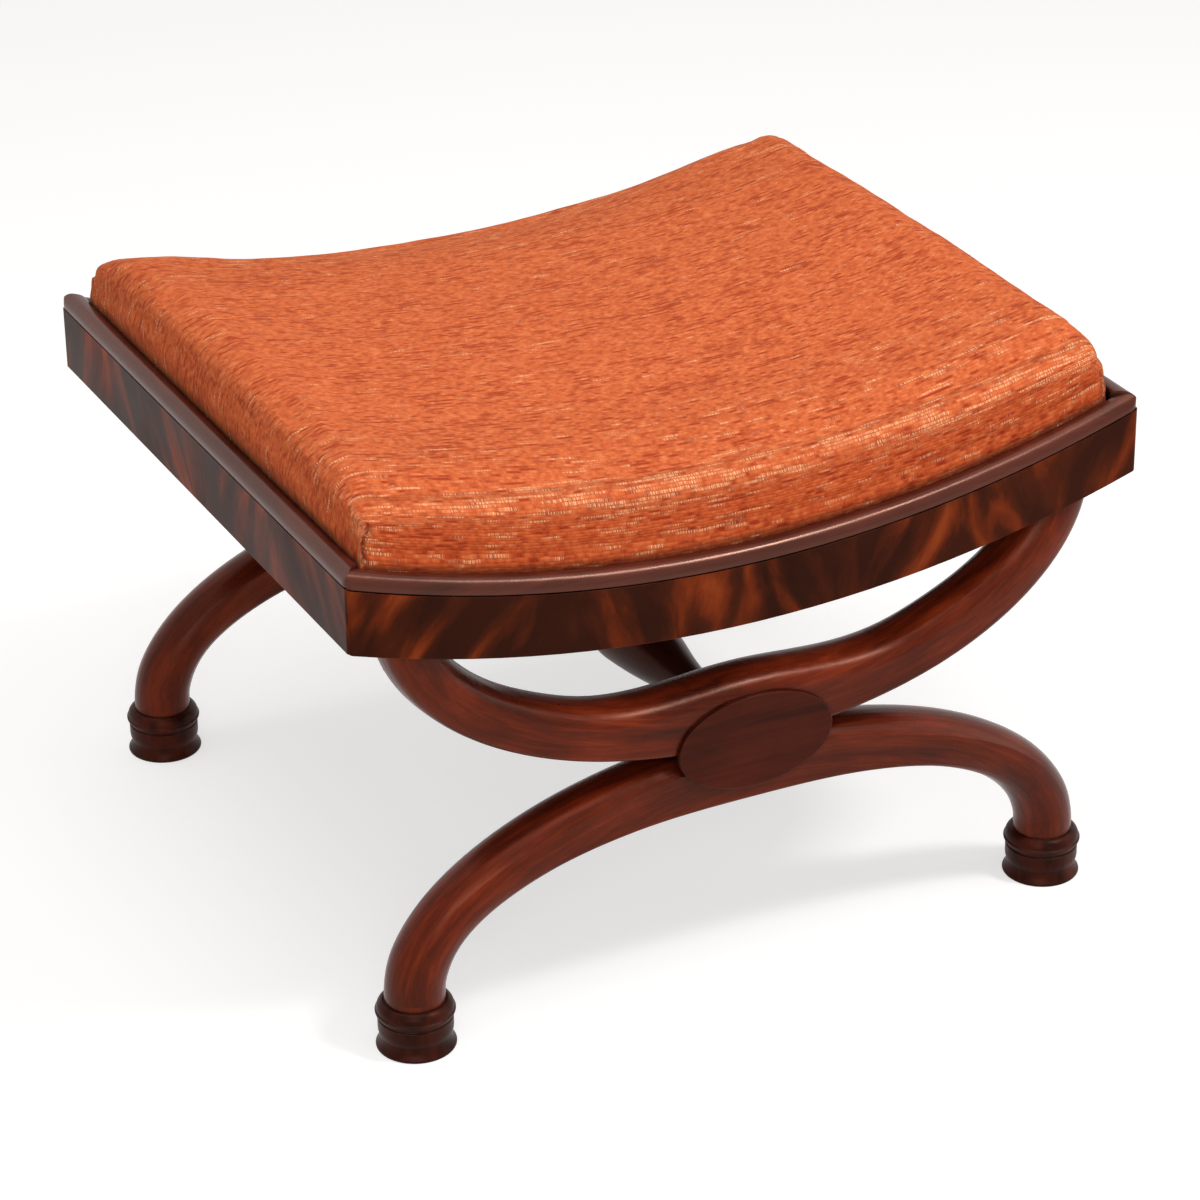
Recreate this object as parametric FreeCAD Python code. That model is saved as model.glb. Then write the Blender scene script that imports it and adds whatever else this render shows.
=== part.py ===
import FreeCAD, Part
import math
import os

from FreeCAD import Vector

# A low dished stool on two X frames with a loose seat.
# Lengths are millimetres. The origin is on the floor, midway between the four feet.
# X runs along the front rail, Y from front to rear and Z up.

# Seat frame
FRAME_LENGTH = 598.0
FRAME_DEPTH = 525.0
QUIRK_HEIGHT = 369.2
RAIL_FACE_HEIGHT = 44.0
DISH_RADIUS = 930.0
VENEER_THICKNESS = 1.2
CORNER_RADIUS = 3.5
BEAD_WIDTH = 14.6
BEAD_HEIGHT = 12.0
BEAD_CORNER_RADIUS = 6.0
LEDGE_DEPTH = 10.0

# Joints of the seat frame
RAIL_TENON_THICKNESS = 16.0
RAIL_TENON_HEIGHT = 17.0
RAIL_TENON_LENGTH = 22.0
RAIL_TENON_INSET = 7.0
RAIL_TENON_RISE = 5.5
CORNER_BLOCK_SIZE = 45.0
CORNER_BLOCK_DROP = 10.0

# X frame members
MEMBER_THICKNESS = 42.0
MEMBER_SETBACK = 5.0
ARM_INSET = 29.0
ARM_WIDTH = 40.0
SUPPORT_WAIST = 37.0
SUPPORT_WAIST_ANGLE = 62.0
SUPPORT_CROWN = 51.2
SUPPORT_SPRING_DROP = 45.8
LEG_INSET = 27.0
LEG_DIAMETER = 42.4
ARCH_WAIST = 35.5
ARCH_WAIST_ANGLE = 52.0
ARCH_CROWN = 44.2
ARCH_SPRING_HEIGHT = 41.1
CROSSING_HEIGHT = 180.6
LAP = 0.6
ARRIS_DROP = 11.0
ARM_TENON_WIDTH = 24.0
ARM_TENON_THICKNESS = 14.0
ARM_TENON_TOP_COVER = 8.0
CROSSING_DOWEL_SPACING = 36.0
CROSSING_DOWEL_DIAMETER = 9.0
CROSSING_DOWEL_LENGTH = 44.0

# Oval boss
BOSS_LENGTH = 119.4
BOSS_HEIGHT = 70.2
BOSS_THICKNESS = 3.3
BOSS_RISE = 2.6
BOSS_EDGE_ROUND = 1.0

# Feet
FOOT_HEIGHT = 36.5
FOOT_SOLE_RADIUS = 27.0
FOOT_BASE_RADIUS = 27.9
FOOT_WAIST_RADIUS = 24.8
FOOT_DRUM_RADIUS = 26.2
FOOT_RING_RADIUS = 27.8
FOOT_RIM_RADIUS = 22.6
FOOT_CUP_DEPTH = 4.0
LEG_TENON_DIAMETER = 24.0
LEG_TENON_LENGTH = 24.0

# Stretcher
STRETCHER_TENON_DIAMETER = 22.0
STRETCHER_BULB_RADIUS = 25.9
STRETCHER_NECK_RADIUS = 13.2
STRETCHER_COLLAR_RADIUS = 17.0
STRETCHER_WAIST_RADIUS = 15.0
STRETCHER_RING_RADIUS = 21.0

# Screws
SCREW_RADIUS = 2.2
SCREW_HEAD_RADIUS = 4.4
SCREW_HEAD_HEIGHT = 3.0
SCREW_SLOT_WIDTH = 1.0
SCREW_SLOT_DEPTH = 1.1
ARM_SCREW_LENGTH = 60.0
BLOCK_SCREW_LENGTH = 42.0

# Loose seat
SEAT_SIDE_CLEARANCE = 0.5
SEAT_REST_CLEARANCE = 0.3
COVER_THICKNESS = 2.0
COVER_TURN_UNDER = 42.0
COVER_UNDER_THICKNESS = 1.5
SEAT_MEMBER_WIDTH = 50.0
SEAT_MEMBER_THICKNESS = 19.0
SEAT_DOWEL_DIAMETER = 9.0
SEAT_DOWEL_LENGTH = 50.0
WEBBING_WIDTH = 50.0
WEBBING_THICKNESS = 1.5
WEBBING_HOLD = 30.0
CROSSWISE_BANDS = 7
LENGTHWISE_BANDS = 4
HESSIAN_THICKNESS = 1.2
HESSIAN_MARGIN = 8.0
DUST_COVER_THICKNESS = 1.0
SEAT_CENTRE_RISE = 76.5
SEAT_CENTRE_CROWN = 12.0
SEAT_END_RISE = 63.5
SEAT_END_CROWN = 5.0
SEAT_SIDE_SHOULDER = 25.0
SEAT_END_SHOULDER = 15.0
SEAT_BULGE = 3.0

# Tacks
TACK_HEAD_RADIUS = 3.2
TACK_HEAD_THICKNESS = 0.8
TACK_SHANK_SIDE = 1.6
TACK_SHANK_LENGTH = 10.0
COVER_TACKS_LONG_SIDE = 5
COVER_TACKS_SHORT_SIDE = 4
COVER_TACK_INSET = 35.0
COVER_TACK_CORNER_GAP = 85.0

# Fits
JOINT_CLEARANCE = 0.1
SOCKET_END_CLEARANCE = 1.0
PAD_CLEARANCE = 0.3

# Levels and lines that follow from the sizes above
HALF_LENGTH = FRAME_LENGTH / 2
HALF_DEPTH = FRAME_DEPTH / 2
RAIL_WIDTH = MEMBER_SETBACK + MEMBER_THICKNESS
INNER_HALF_LENGTH = HALF_LENGTH - RAIL_WIDTH
INNER_HALF_DEPTH = HALF_DEPTH - RAIL_WIDTH
RECESS_HALF_LENGTH = HALF_LENGTH - BEAD_WIDTH
RECESS_HALF_DEPTH = HALF_DEPTH - BEAD_WIDTH
MEMBER_FRONT = -HALF_DEPTH + MEMBER_SETBACK
MEMBER_MIDDLE = MEMBER_FRONT + MEMBER_THICKNESS / 2
MEMBER_BACK = MEMBER_FRONT + MEMBER_THICKNESS
ARM_SPREAD = HALF_LENGTH - ARM_INSET
LEG_SPREAD = HALF_LENGTH - LEG_INSET
LEG_CENTRE = LEG_SPREAD - LEG_DIAMETER / 2
SUPPORT_SPRING_HEIGHT = QUIRK_HEIGHT - SUPPORT_SPRING_DROP
ARM_CENTRE = ARM_SPREAD - ARM_WIDTH / 2
DISH_CENTRE_HEIGHT = QUIRK_HEIGHT + math.sqrt(DISH_RADIUS ** 2 - HALF_LENGTH ** 2)
FAR = 2000.0

# Depths below the quirk line, measured square to the dish
SEAT_UNDERSIDE = LEDGE_DEPTH - SEAT_REST_CLEARANCE
SEAT_MEMBER_BOTTOM = SEAT_UNDERSIDE - COVER_UNDER_THICKNESS
SEAT_MEMBER_TOP = SEAT_MEMBER_BOTTOM - SEAT_MEMBER_THICKNESS
WEBBING_TOP = SEAT_MEMBER_TOP - WEBBING_THICKNESS
HESSIAN_TOP = WEBBING_TOP - HESSIAN_THICKNESS

# Half sizes of the seat
COVER_HALF_LENGTH = RECESS_HALF_LENGTH - SEAT_SIDE_CLEARANCE
COVER_HALF_DEPTH = RECESS_HALF_DEPTH - SEAT_SIDE_CLEARANCE
SEAT_HALF_LENGTH = COVER_HALF_LENGTH - COVER_THICKNESS
SEAT_HALF_DEPTH = COVER_HALF_DEPTH - COVER_THICKNESS


def dish_height(x, below=0.0):
    """Height of the dish at x, on the arc that lies below the quirk line by the given depth."""
    radius = DISH_RADIUS + below
    return DISH_CENTRE_HEIGHT - math.sqrt(radius ** 2 - x ** 2)


def dish_arc(x_start, x_end, below):
    """Arc of the dish between two values of x, in the plane y = 0."""
    x_middle = (x_start + x_end) / 2
    points = [Vector(x, 0, dish_height(x, below)) for x in (x_start, x_middle, x_end)]
    return Part.Arc(*points).toShape()


def segment(start, end):
    return Part.LineSegment(start, end).toShape()


def block(x_low, x_high, y_low, y_high, z_low, z_high):
    size = (x_high - x_low, y_high - y_low, z_high - z_low)
    return Part.makeBox(*size, Vector(x_low, y_low, z_low))


def dish_slab(x_low, x_high, y_low, y_high, top, bottom):
    """Slab between two arcs of the dish, given by their depths below the quirk line."""
    upper = dish_arc(x_low, x_high, top)
    lower = dish_arc(x_low, x_high, bottom)
    upper_low, upper_high = upper.Vertexes[0].Point, upper.Vertexes[1].Point
    lower_low, lower_high = lower.Vertexes[0].Point, lower.Vertexes[1].Point
    wire = Part.Wire([upper, segment(upper_high, lower_high), lower, segment(lower_low, upper_low)])
    slab = Part.Face(wire).extrude(Vector(0, y_high - y_low, 0))
    slab.translate(Vector(0, y_low, 0))
    return slab


def beyond_dish(below, far_level):
    """Everything between an arc of the dish and a far level, for cutting."""
    reach = HALF_LENGTH + CORNER_BLOCK_SIZE
    arc = dish_arc(-reach, reach, below)
    low, high = arc.Vertexes[0].Point, arc.Vertexes[1].Point
    far_low, far_high = Vector(-reach, 0, far_level), Vector(reach, 0, far_level)
    wire = Part.Wire([arc, segment(high, far_high), segment(far_high, far_low), segment(far_low, low)])
    solid = Part.Face(wire).extrude(Vector(0, 2 * FAR, 0))
    solid.translate(Vector(0, -FAR, 0))
    return solid


def above_dish(below):
    return beyond_dish(below, FAR)


def below_dish(below):
    return beyond_dish(below, -FAR)


def rounded_prism(half_length, half_depth, radius, z_low, z_high):
    """Upright prism on a rectangle with rounded corners."""
    prism = block(-half_length, half_length, -half_depth, half_depth, z_low, z_high)
    upright = [edge for edge in prism.Edges if abs(edge.tangentAt(edge.FirstParameter).z) > 0.9]
    return prism.makeFillet(radius, upright)


def wedge(front):
    """Quarter of the plan between the mitre lines, at the front or at the left."""
    corner = [Vector(-HALF_LENGTH, -HALF_DEPTH, 0), Vector(-HALF_LENGTH + HALF_DEPTH, 0, 0)]
    outward = Vector(-FAR, -FAR, 0)
    if front:
        points = [corner[0] + outward, corner[1], Vector(HALF_LENGTH - HALF_DEPTH, 0, 0)]
        points.append(Vector(HALF_LENGTH, -HALF_DEPTH, 0) + Vector(FAR, -FAR, 0))
    else:
        points = [corner[0] + outward, corner[1], Vector(-HALF_LENGTH, HALF_DEPTH, 0) + Vector(-FAR, FAR, 0)]
    return Part.Face(Part.makePolygon(points + [points[0]])).extrude(Vector(0, 0, FAR))


def half_turn(shape):
    """The same piece on the opposite side of the stool."""
    turned = shape.copy()
    turned.rotate(Vector(0, 0, 0), Vector(0, 0, 1), 180)
    return turned


def mirrored(shape, normal):
    return shape.mirror(Vector(0, 0, 0), normal)


def rod(start, direction, radius, length):
    return Part.makeCylinder(radius, length, start, direction)


def turned_piece(outline):
    """Solid of revolution about Z. Each item is a point (r, z), or a pair of points for an arc."""
    edges = []
    here = Vector(outline[0][0], 0, outline[0][1])
    for item in outline[1:]:
        if isinstance(item[0], tuple):
            middle = Vector(item[0][0], 0, item[0][1])
            end = Vector(item[1][0], 0, item[1][1])
            edges.append(Part.Arc(here, middle, end).toShape())
        else:
            end = Vector(item[0], 0, item[1])
            edges.append(segment(here, end))
        here = end
    edges.append(segment(here, edges[0].Vertexes[0].Point))
    return Part.Face(Part.Wire(edges)).revolve(Vector(0, 0, 0), Vector(0, 0, 1), 360)


def screw(length):
    """Countersunk slotted wood screw, head up, with the top of its head at the origin."""
    neck = SCREW_HEAD_HEIGHT
    tip = SCREW_RADIUS * 3
    outline = [(0, 0), (SCREW_HEAD_RADIUS, 0), (SCREW_RADIUS, -neck)]
    outline += [(SCREW_RADIUS, tip - length), (0, -length)]
    slot_half = SCREW_SLOT_WIDTH / 2
    slot = block(-FAR, FAR, -slot_half, slot_half, -SCREW_SLOT_DEPTH, SCREW_SLOT_DEPTH)
    return turned_piece(outline).cut(slot)


def screw_hole(length):
    """Space that a screw fills, with its head's countersink."""
    neck = SCREW_HEAD_HEIGHT
    tip = SCREW_RADIUS * 3
    outline = [(0, FAR), (SCREW_HEAD_RADIUS, FAR), (SCREW_HEAD_RADIUS, 0), (SCREW_RADIUS, -neck)]
    outline += [(SCREW_RADIUS, tip - length), (0, -length)]
    return turned_piece(outline)


def placed(shape, position, direction):
    """Turn a piece that lies along Z to a direction, and put its origin at a position."""
    moved = shape.copy()
    moved.Placement = FreeCAD.Placement(position, FreeCAD.Rotation(Vector(0, 0, 1), direction))
    return moved


# Rails

def rail_tenon(grow=0.0, extra=0.0):
    """Tenon of the left rail that enters the front rail."""
    x_low = -HALF_LENGTH + VENEER_THICKNESS + RAIL_TENON_INSET
    z_low = dish_height(HALF_LENGTH, RAIL_FACE_HEIGHT) + RAIL_TENON_RISE
    y_end = -INNER_HALF_DEPTH - RAIL_TENON_LENGTH - extra
    return block(
        x_low - grow, x_low + RAIL_TENON_THICKNESS + grow,
        y_end, -INNER_HALF_DEPTH + 1,
        z_low - grow, z_low + RAIL_TENON_HEIGHT + grow,
    )


def arm_tenon(grow=0.0, extra=0.0):
    """Tenon on top of the left arm of the front support."""
    top = dish_height(ARM_CENTRE, LEDGE_DEPTH) - ARM_TENON_TOP_COVER + extra
    half_width = ARM_TENON_WIDTH / 2 + grow
    half_thickness = ARM_TENON_THICKNESS / 2 + grow
    return block(
        -ARM_CENTRE - half_width, -ARM_CENTRE + half_width,
        MEMBER_MIDDLE - half_thickness, MEMBER_MIDDLE + half_thickness,
        dish_height(ARM_CENTRE, RAIL_FACE_HEIGHT) - ARM_WIDTH / 2, top,
    )


def arm_screw_place():
    return Vector(-ARM_CENTRE, MEMBER_MIDDLE, dish_height(ARM_CENTRE, LEDGE_DEPTH) - SCREW_HEAD_HEIGHT / 2)


def block_screw_place():
    """Middle of the long face of the front left corner block."""
    offset = CORNER_BLOCK_SIZE / 2
    z_low = dish_height(INNER_HALF_LENGTH, RAIL_FACE_HEIGHT) + CORNER_BLOCK_DROP / 2
    z_high = dish_height(INNER_HALF_LENGTH - CORNER_BLOCK_SIZE, LEDGE_DEPTH)
    return Vector(-INNER_HALF_LENGTH + offset, -INNER_HALF_DEPTH + offset, (z_low + z_high) / 2)


def rail_screws():
    """Place, direction of the head and length of the two screws at the front left corner."""
    arm_screw = (arm_screw_place(), Vector(0, 0, 1), ARM_SCREW_LENGTH)
    block_screw = (block_screw_place(), Vector(1, 1, 0), BLOCK_SCREW_LENGTH)
    return arm_screw, block_screw


def seat_recess():
    """Space over the ledge, inside the bead."""
    recess = block(
        -RECESS_HALF_LENGTH, RECESS_HALF_LENGTH,
        -RECESS_HALF_DEPTH, RECESS_HALF_DEPTH,
        0, FAR,
    )
    return recess.common(above_dish(LEDGE_DEPTH))


def both_ends(shape):
    return shape.fuse(mirrored(shape, Vector(1, 0, 0)))


def front_rail():
    """Dished core of the front rail, with its ledge, mortises and screw holes."""
    core_half_length = HALF_LENGTH - VENEER_THICKNESS
    core_front = -HALF_DEPTH + VENEER_THICKNESS
    core = dish_slab(-core_half_length, core_half_length, core_front, -INNER_HALF_DEPTH, 0, RAIL_FACE_HEIGHT)
    radius = CORNER_RADIUS - VENEER_THICKNESS
    core = core.common(rounded_prism(core_half_length, HALF_DEPTH - VENEER_THICKNESS, radius, 0, FAR))
    core = core.cut(seat_recess())
    core = core.cut(both_ends(rail_tenon(JOINT_CLEARANCE, SOCKET_END_CLEARANCE)))
    core = core.cut(both_ends(arm_tenon(JOINT_CLEARANCE, SOCKET_END_CLEARANCE)))
    for place, direction, length in rail_screws():
        core = core.cut(both_ends(placed(screw_hole(length), place, direction)))
    return core


def left_rail():
    """Straight core of the left rail, tenoned into the front and rear rails."""
    bottom = dish_height(HALF_LENGTH, RAIL_FACE_HEIGHT)
    core = block(
        -HALF_LENGTH + VENEER_THICKNESS, -INNER_HALF_LENGTH,
        -INNER_HALF_DEPTH, INNER_HALF_DEPTH,
        bottom, QUIRK_HEIGHT,
    )
    tenon = rail_tenon()
    core = core.fuse([tenon, mirrored(tenon, Vector(0, 1, 0))]).cut(seat_recess()).removeSplitter()
    for place, direction, length in rail_screws():
        hole = placed(screw_hole(length), place, direction)
        core = core.cut([hole, mirrored(hole, Vector(0, 1, 0))])
    return core


def veneer_ring():
    outer = rounded_prism(HALF_LENGTH, HALF_DEPTH, CORNER_RADIUS, 0, QUIRK_HEIGHT)
    inner_radius = CORNER_RADIUS - VENEER_THICKNESS
    inner = rounded_prism(
        HALF_LENGTH - VENEER_THICKNESS, HALF_DEPTH - VENEER_THICKNESS, inner_radius, -1, QUIRK_HEIGHT + 1
    )
    return outer.cut(inner)


def front_veneer():
    face = dish_slab(-HALF_LENGTH, HALF_LENGTH, -HALF_DEPTH, 0, 0, RAIL_FACE_HEIGHT)
    return veneer_ring().common(wedge(True)).common(face)


def left_veneer():
    bottom = dish_height(HALF_LENGTH, RAIL_FACE_HEIGHT)
    face = block(-HALF_LENGTH, 0, -HALF_DEPTH, HALF_DEPTH, bottom, QUIRK_HEIGHT)
    return veneer_ring().common(wedge(False)).common(face)


# Bead

def bead_face(outer_edge, level):
    """Section of the bead in the plane x = 0, with its outer side towards the front."""
    w, h = BEAD_WIDTH, BEAD_HEIGHT
    quirk = 1.0
    points = {
        "inner_foot": (w, 0), "inner_top": (w, h * 0.86), "crown_end": (w * 0.72, h * 0.98),
        "inner_round": (w * 0.9, h * 0.945), "crown": (w * 0.45, h), "crown_start": (w * 0.3, h * 0.965),
        "outer_round": (w * 0.075, h * 0.74), "outer_low": (0, h * 0.36), "quirk_top": (0, quirk * 1.4),
        "quirk_root": (quirk, 0),
    }
    place = {name: Vector(0, outer_edge + u, level + v) for name, (u, v) in points.items()}
    edges = [
        segment(place["inner_foot"], place["inner_top"]),
        Part.Arc(place["inner_top"], place["inner_round"], place["crown_end"]).toShape(),
        Part.Arc(place["crown_end"], place["crown"], place["crown_start"]).toShape(),
        Part.Arc(place["crown_start"], place["outer_round"], place["outer_low"]).toShape(),
        segment(place["outer_low"], place["quirk_top"]),
        segment(place["quirk_top"], place["quirk_root"]),
        segment(place["quirk_root"], place["inner_foot"]),
    ]
    return Part.Face(Part.Wire(edges))


def bead_corner_prism():
    return rounded_prism(HALF_LENGTH, HALF_DEPTH, BEAD_CORNER_RADIUS, 0, FAR)


def front_bead():
    """Bead swept round the dish and mitred at both ends."""
    sweep = math.degrees(math.asin(HALF_LENGTH / DISH_RADIUS)) + 3
    section = bead_face(-HALF_DEPTH, dish_height(0))
    section.rotate(Vector(0, 0, DISH_CENTRE_HEIGHT), Vector(0, 1, 0), -sweep)
    bead = section.revolve(Vector(0, 0, DISH_CENTRE_HEIGHT), Vector(0, 1, 0), 2 * sweep)
    return bead.common(wedge(True)).common(bead_corner_prism())


def left_bead():
    section = bead_face(-HALF_LENGTH, QUIRK_HEIGHT)
    section.rotate(Vector(0, 0, 0), Vector(0, 0, 1), -90)
    section.translate(Vector(0, -HALF_DEPTH, 0))
    bead = section.extrude(Vector(0, FRAME_DEPTH, 0))
    return bead.common(wedge(False)).common(bead_corner_prism())


# Corner blocks

def corner_block():
    """Front left block, its top in line with the ledge."""
    x, y = -INNER_HALF_LENGTH, -INNER_HALF_DEPTH
    size = CORNER_BLOCK_SIZE
    low = dish_height(INNER_HALF_LENGTH, RAIL_FACE_HEIGHT) + CORNER_BLOCK_DROP / 2
    points = [Vector(x, y, low), Vector(x + size, y, low), Vector(x, y + size, low)]
    prism = Part.Face(Part.makePolygon(points + [points[0]])).extrude(Vector(0, 0, FAR / 4))
    prism = prism.cut(above_dish(LEDGE_DEPTH))
    place, direction, length = rail_screws()[1]
    return prism.cut(placed(screw_hole(length), place, direction))


def in_four_corners(shape):
    pair = [shape, mirrored(shape, Vector(1, 0, 0))]
    return pair + [half_turn(piece) for piece in pair]


# X frame members

def arc_bulge(degrees):
    """Height of an arc over its chord, as a share of the chord."""
    return math.tan(math.radians(degrees) / 4) / 2


def flat_section(half_depth, crown_half, crown_rise, drop, shoulder_bulge, edge_round):
    """Section with flat sides under a rounded crown: points (y, n) and the bulge of each side."""
    a, b = MEMBER_THICKNESS / 2, half_depth
    front = [(-crown_half, b - crown_rise), (-a, b - drop), (-a, edge_round - b), (edge_round - a, -b)]
    rear = [(-y, n) for y, n in reversed(front)]
    quarter = arc_bulge(90)
    crown_bulge = crown_rise / (2 * crown_half)
    return front + rear, [shoulder_bulge, 0, quarter, 0, quarter, 0, shoulder_bulge, crown_bulge]


def round_section(half_width, half_depth):
    """Round section with its corners at the same places as those of the flat one."""
    angles = (14, 55, 125, 160)
    front = []
    for angle in angles:
        turn = math.radians(angle)
        front.append((-half_width * math.sin(turn), half_depth * math.cos(turn)))
    rear = [(-y, n) for y, n in reversed(front)]
    steps = [angles[1] - angles[0], angles[2] - angles[1], angles[3] - angles[2]]
    around = steps + [2 * (180 - angles[3])] + steps[::-1] + [2 * angles[0]]
    return front + rear, [arc_bulge(step) for step in around]


def blended(flat, rounded, share):
    points = []
    for (y0, n0), (y1, n1) in zip(flat[0], rounded[0]):
        points.append((y0 + (y1 - y0) * share, n0 + (n1 - n0) * share))
    bulges = [low + (high - low) * share for low, high in zip(flat[1], rounded[1])]
    return points, bulges


def section_wire(section, centre, crown_direction):
    """Wire of a section at a point of the member's middle line."""
    points, bulges = section
    corners = [centre + Vector(0, y, 0) + crown_direction * n for y, n in points]
    edges = []
    for index, bulge in enumerate(bulges):
        start, end = corners[index], corners[(index + 1) % len(corners)]
        chord = end - start
        if bulge * chord.Length < 0.02:
            edges.append(segment(start, end))
            continue
        middle = (start + end) * 0.5
        outward = Vector(0, 1, 0).cross(crown_direction).cross(chord)
        outward.normalize()
        if outward.dot(middle - centre) < 0:
            outward = outward * -1
        edges.append(Part.Arc(start, middle + outward * (bulge * chord.Length), end).toShape())
    return Part.Wire(edges)


def smooth_step(value):
    value = min(1.0, max(0.0, value))
    return value * value * (3 - 2 * value)


def ellipse_station(spread, height, spring, degrees, depth):
    """Middle of a section on the member's line, and the direction out of the ellipse."""
    turn = math.radians(degrees)
    outer = Vector(spread * math.cos(turn), MEMBER_MIDDLE, spring + height * math.sin(turn))
    outward = Vector(math.cos(turn) / spread, 0, math.sin(turn) / height)
    outward.normalize()
    return outer - outward * (depth / 2), outward


def member_depth(degrees, end, waist, crown, waist_angle):
    """Depth of a member that narrows from its end to its waist and swells to the crossing."""
    if degrees < waist_angle:
        return waist + (end - waist) * (1 - smooth_step(degrees / waist_angle))
    return waist + (crown - waist) * smooth_step((degrees - waist_angle) / (90 - waist_angle))


def arch_section(degrees_from_spring):
    """Section of the leg arch: round at the foot, with flat sides and an arris at the crossing."""
    share = 1 - smooth_step((degrees_from_spring - 24) / 42)
    depth = member_depth(degrees_from_spring, LEG_DIAMETER, ARCH_WAIST, ARCH_CROWN, ARCH_WAIST_ANGLE)
    half = MEMBER_THICKNESS / 2
    dome = (half ** 2 + ARRIS_DROP ** 2) / (2 * ARRIS_DROP)
    crown_half = half * 0.3
    crown_rise = dome - math.sqrt(dome ** 2 - crown_half ** 2)
    shoulder = math.degrees(math.asin(half / dome) - math.asin(crown_half / dome))
    flat = flat_section(depth / 2, crown_half, crown_rise, ARRIS_DROP, arc_bulge(shoulder), 2.0)
    rounded = round_section(LEG_DIAMETER / 2, depth / 2)
    return blended(flat, rounded, share), depth


def support_section(degrees_from_spring):
    """Section of the upper support: crowned on its inner side, softer towards the arms."""
    share = 0.75 * (1 - smooth_step((degrees_from_spring - 5) / 60))
    depth = member_depth(degrees_from_spring, ARM_WIDTH, SUPPORT_WAIST, SUPPORT_CROWN, SUPPORT_WAIST_ANGLE)
    half = MEMBER_THICKNESS / 2
    flat = flat_section(depth / 2, half * 0.5, 1.8, 12.5, 0.13, 3.0)
    rounded = round_section(half, depth / 2)
    return blended(flat, rounded, share), depth


def stretcher_socket():
    start = Vector(0, MEMBER_FRONT - 1, CROSSING_HEIGHT)
    return rod(start, Vector(0, 1, 0), STRETCHER_TENON_DIAMETER / 2 + JOINT_CLEARANCE, MEMBER_THICKNESS + 2)


def crossing_dowel(grow=0.0, extra=0.0):
    length = CROSSING_DOWEL_LENGTH + 2 * extra
    start = Vector(-CROSSING_DOWEL_SPACING / 2, MEMBER_MIDDLE, CROSSING_HEIGHT - length / 2)
    return rod(start, Vector(0, 0, 1), CROSSING_DOWEL_DIAMETER / 2 + grow, length)


def leg_arch():
    """Front leg arch with a round tenon at each foot."""
    rise = CROSSING_HEIGHT + LAP - ARCH_SPRING_HEIGHT
    leg_end = FOOT_HEIGHT - FOOT_CUP_DEPTH
    round_wire = arch_section(0)[0]
    wires = []
    for z in (leg_end, (leg_end + ARCH_SPRING_HEIGHT) / 2):
        wires.append(section_wire(round_wire, Vector(-LEG_CENTRE, MEMBER_MIDDLE, z), Vector(-1, 0, 0)))
    steps = 20
    for index in range(steps + 1):
        degrees = 180 - 180 * index / steps
        section, depth = arch_section(min(degrees, 180 - degrees))
        centre, outward = ellipse_station(LEG_SPREAD, rise, ARCH_SPRING_HEIGHT, degrees, depth)
        wires.append(section_wire(section, centre, outward))
    for z in ((leg_end + ARCH_SPRING_HEIGHT) / 2, leg_end):
        wires.append(section_wire(round_wire, Vector(LEG_CENTRE, MEMBER_MIDDLE, z), Vector(1, 0, 0)))
    arch = Part.makeLoft(wires, True, False)
    tenon_end = leg_end - LEG_TENON_LENGTH
    tenon = rod(
        Vector(-LEG_CENTRE, MEMBER_MIDDLE, tenon_end), Vector(0, 0, 1),
        LEG_TENON_DIAMETER / 2, LEG_TENON_LENGTH + 1,
    )
    arch = arch.fuse([tenon, mirrored(tenon, Vector(1, 0, 0))])
    arch = arch.cut(block(-FAR, FAR, -FAR, FAR, CROSSING_HEIGHT, FAR))
    holes = both_ends(crossing_dowel(JOINT_CLEARANCE, SOCKET_END_CLEARANCE))
    return arch.cut(stretcher_socket()).cut(holes)


def upper_support():
    """Front U that carries the rail, tenoned into it and coped to its underside."""
    drop = SUPPORT_SPRING_HEIGHT - CROSSING_HEIGHT + LAP
    wires = []
    steps = 20
    for index in range(steps + 1):
        degrees = 180 + 180 * index / steps
        section, depth = support_section(min(degrees - 180, 360 - degrees))
        centre, outward = ellipse_station(ARM_SPREAD, drop, SUPPORT_SPRING_HEIGHT, degrees, depth)
        wires.append(section_wire(section, centre, outward * -1))
    support = Part.makeLoft(wires, True, False)
    support = support.cut(above_dish(RAIL_FACE_HEIGHT))
    support = support.cut(block(-FAR, FAR, -FAR, FAR, 0, CROSSING_HEIGHT))
    support = support.fuse(both_ends(arm_tenon()))
    support = support.cut(stretcher_socket())
    support = support.cut(both_ends(crossing_dowel(JOINT_CLEARANCE, SOCKET_END_CLEARANCE)))
    place, direction, length = rail_screws()[0]
    return support.cut(both_ends(placed(screw_hole(length), place, direction)))


def oval_boss():
    """Oval plaque glued over the crossing on the front face of the members."""
    ellipse = Part.Ellipse(Vector(0, 0, 0), BOSS_LENGTH / 2, BOSS_HEIGHT / 2)
    plaque = Part.Face(Part.Wire(ellipse.toShape())).extrude(Vector(0, 0, BOSS_THICKNESS))
    rim = [edge for edge in plaque.Edges if edge.BoundBox.ZMin > BOSS_THICKNESS - 0.1]
    plaque = plaque.makeFillet(BOSS_EDGE_ROUND, rim)
    plaque.rotate(Vector(0, 0, 0), Vector(1, 0, 0), 90)
    plaque.translate(Vector(0, MEMBER_FRONT, CROSSING_HEIGHT + BOSS_RISE))
    return plaque


# Feet and stretcher

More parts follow.
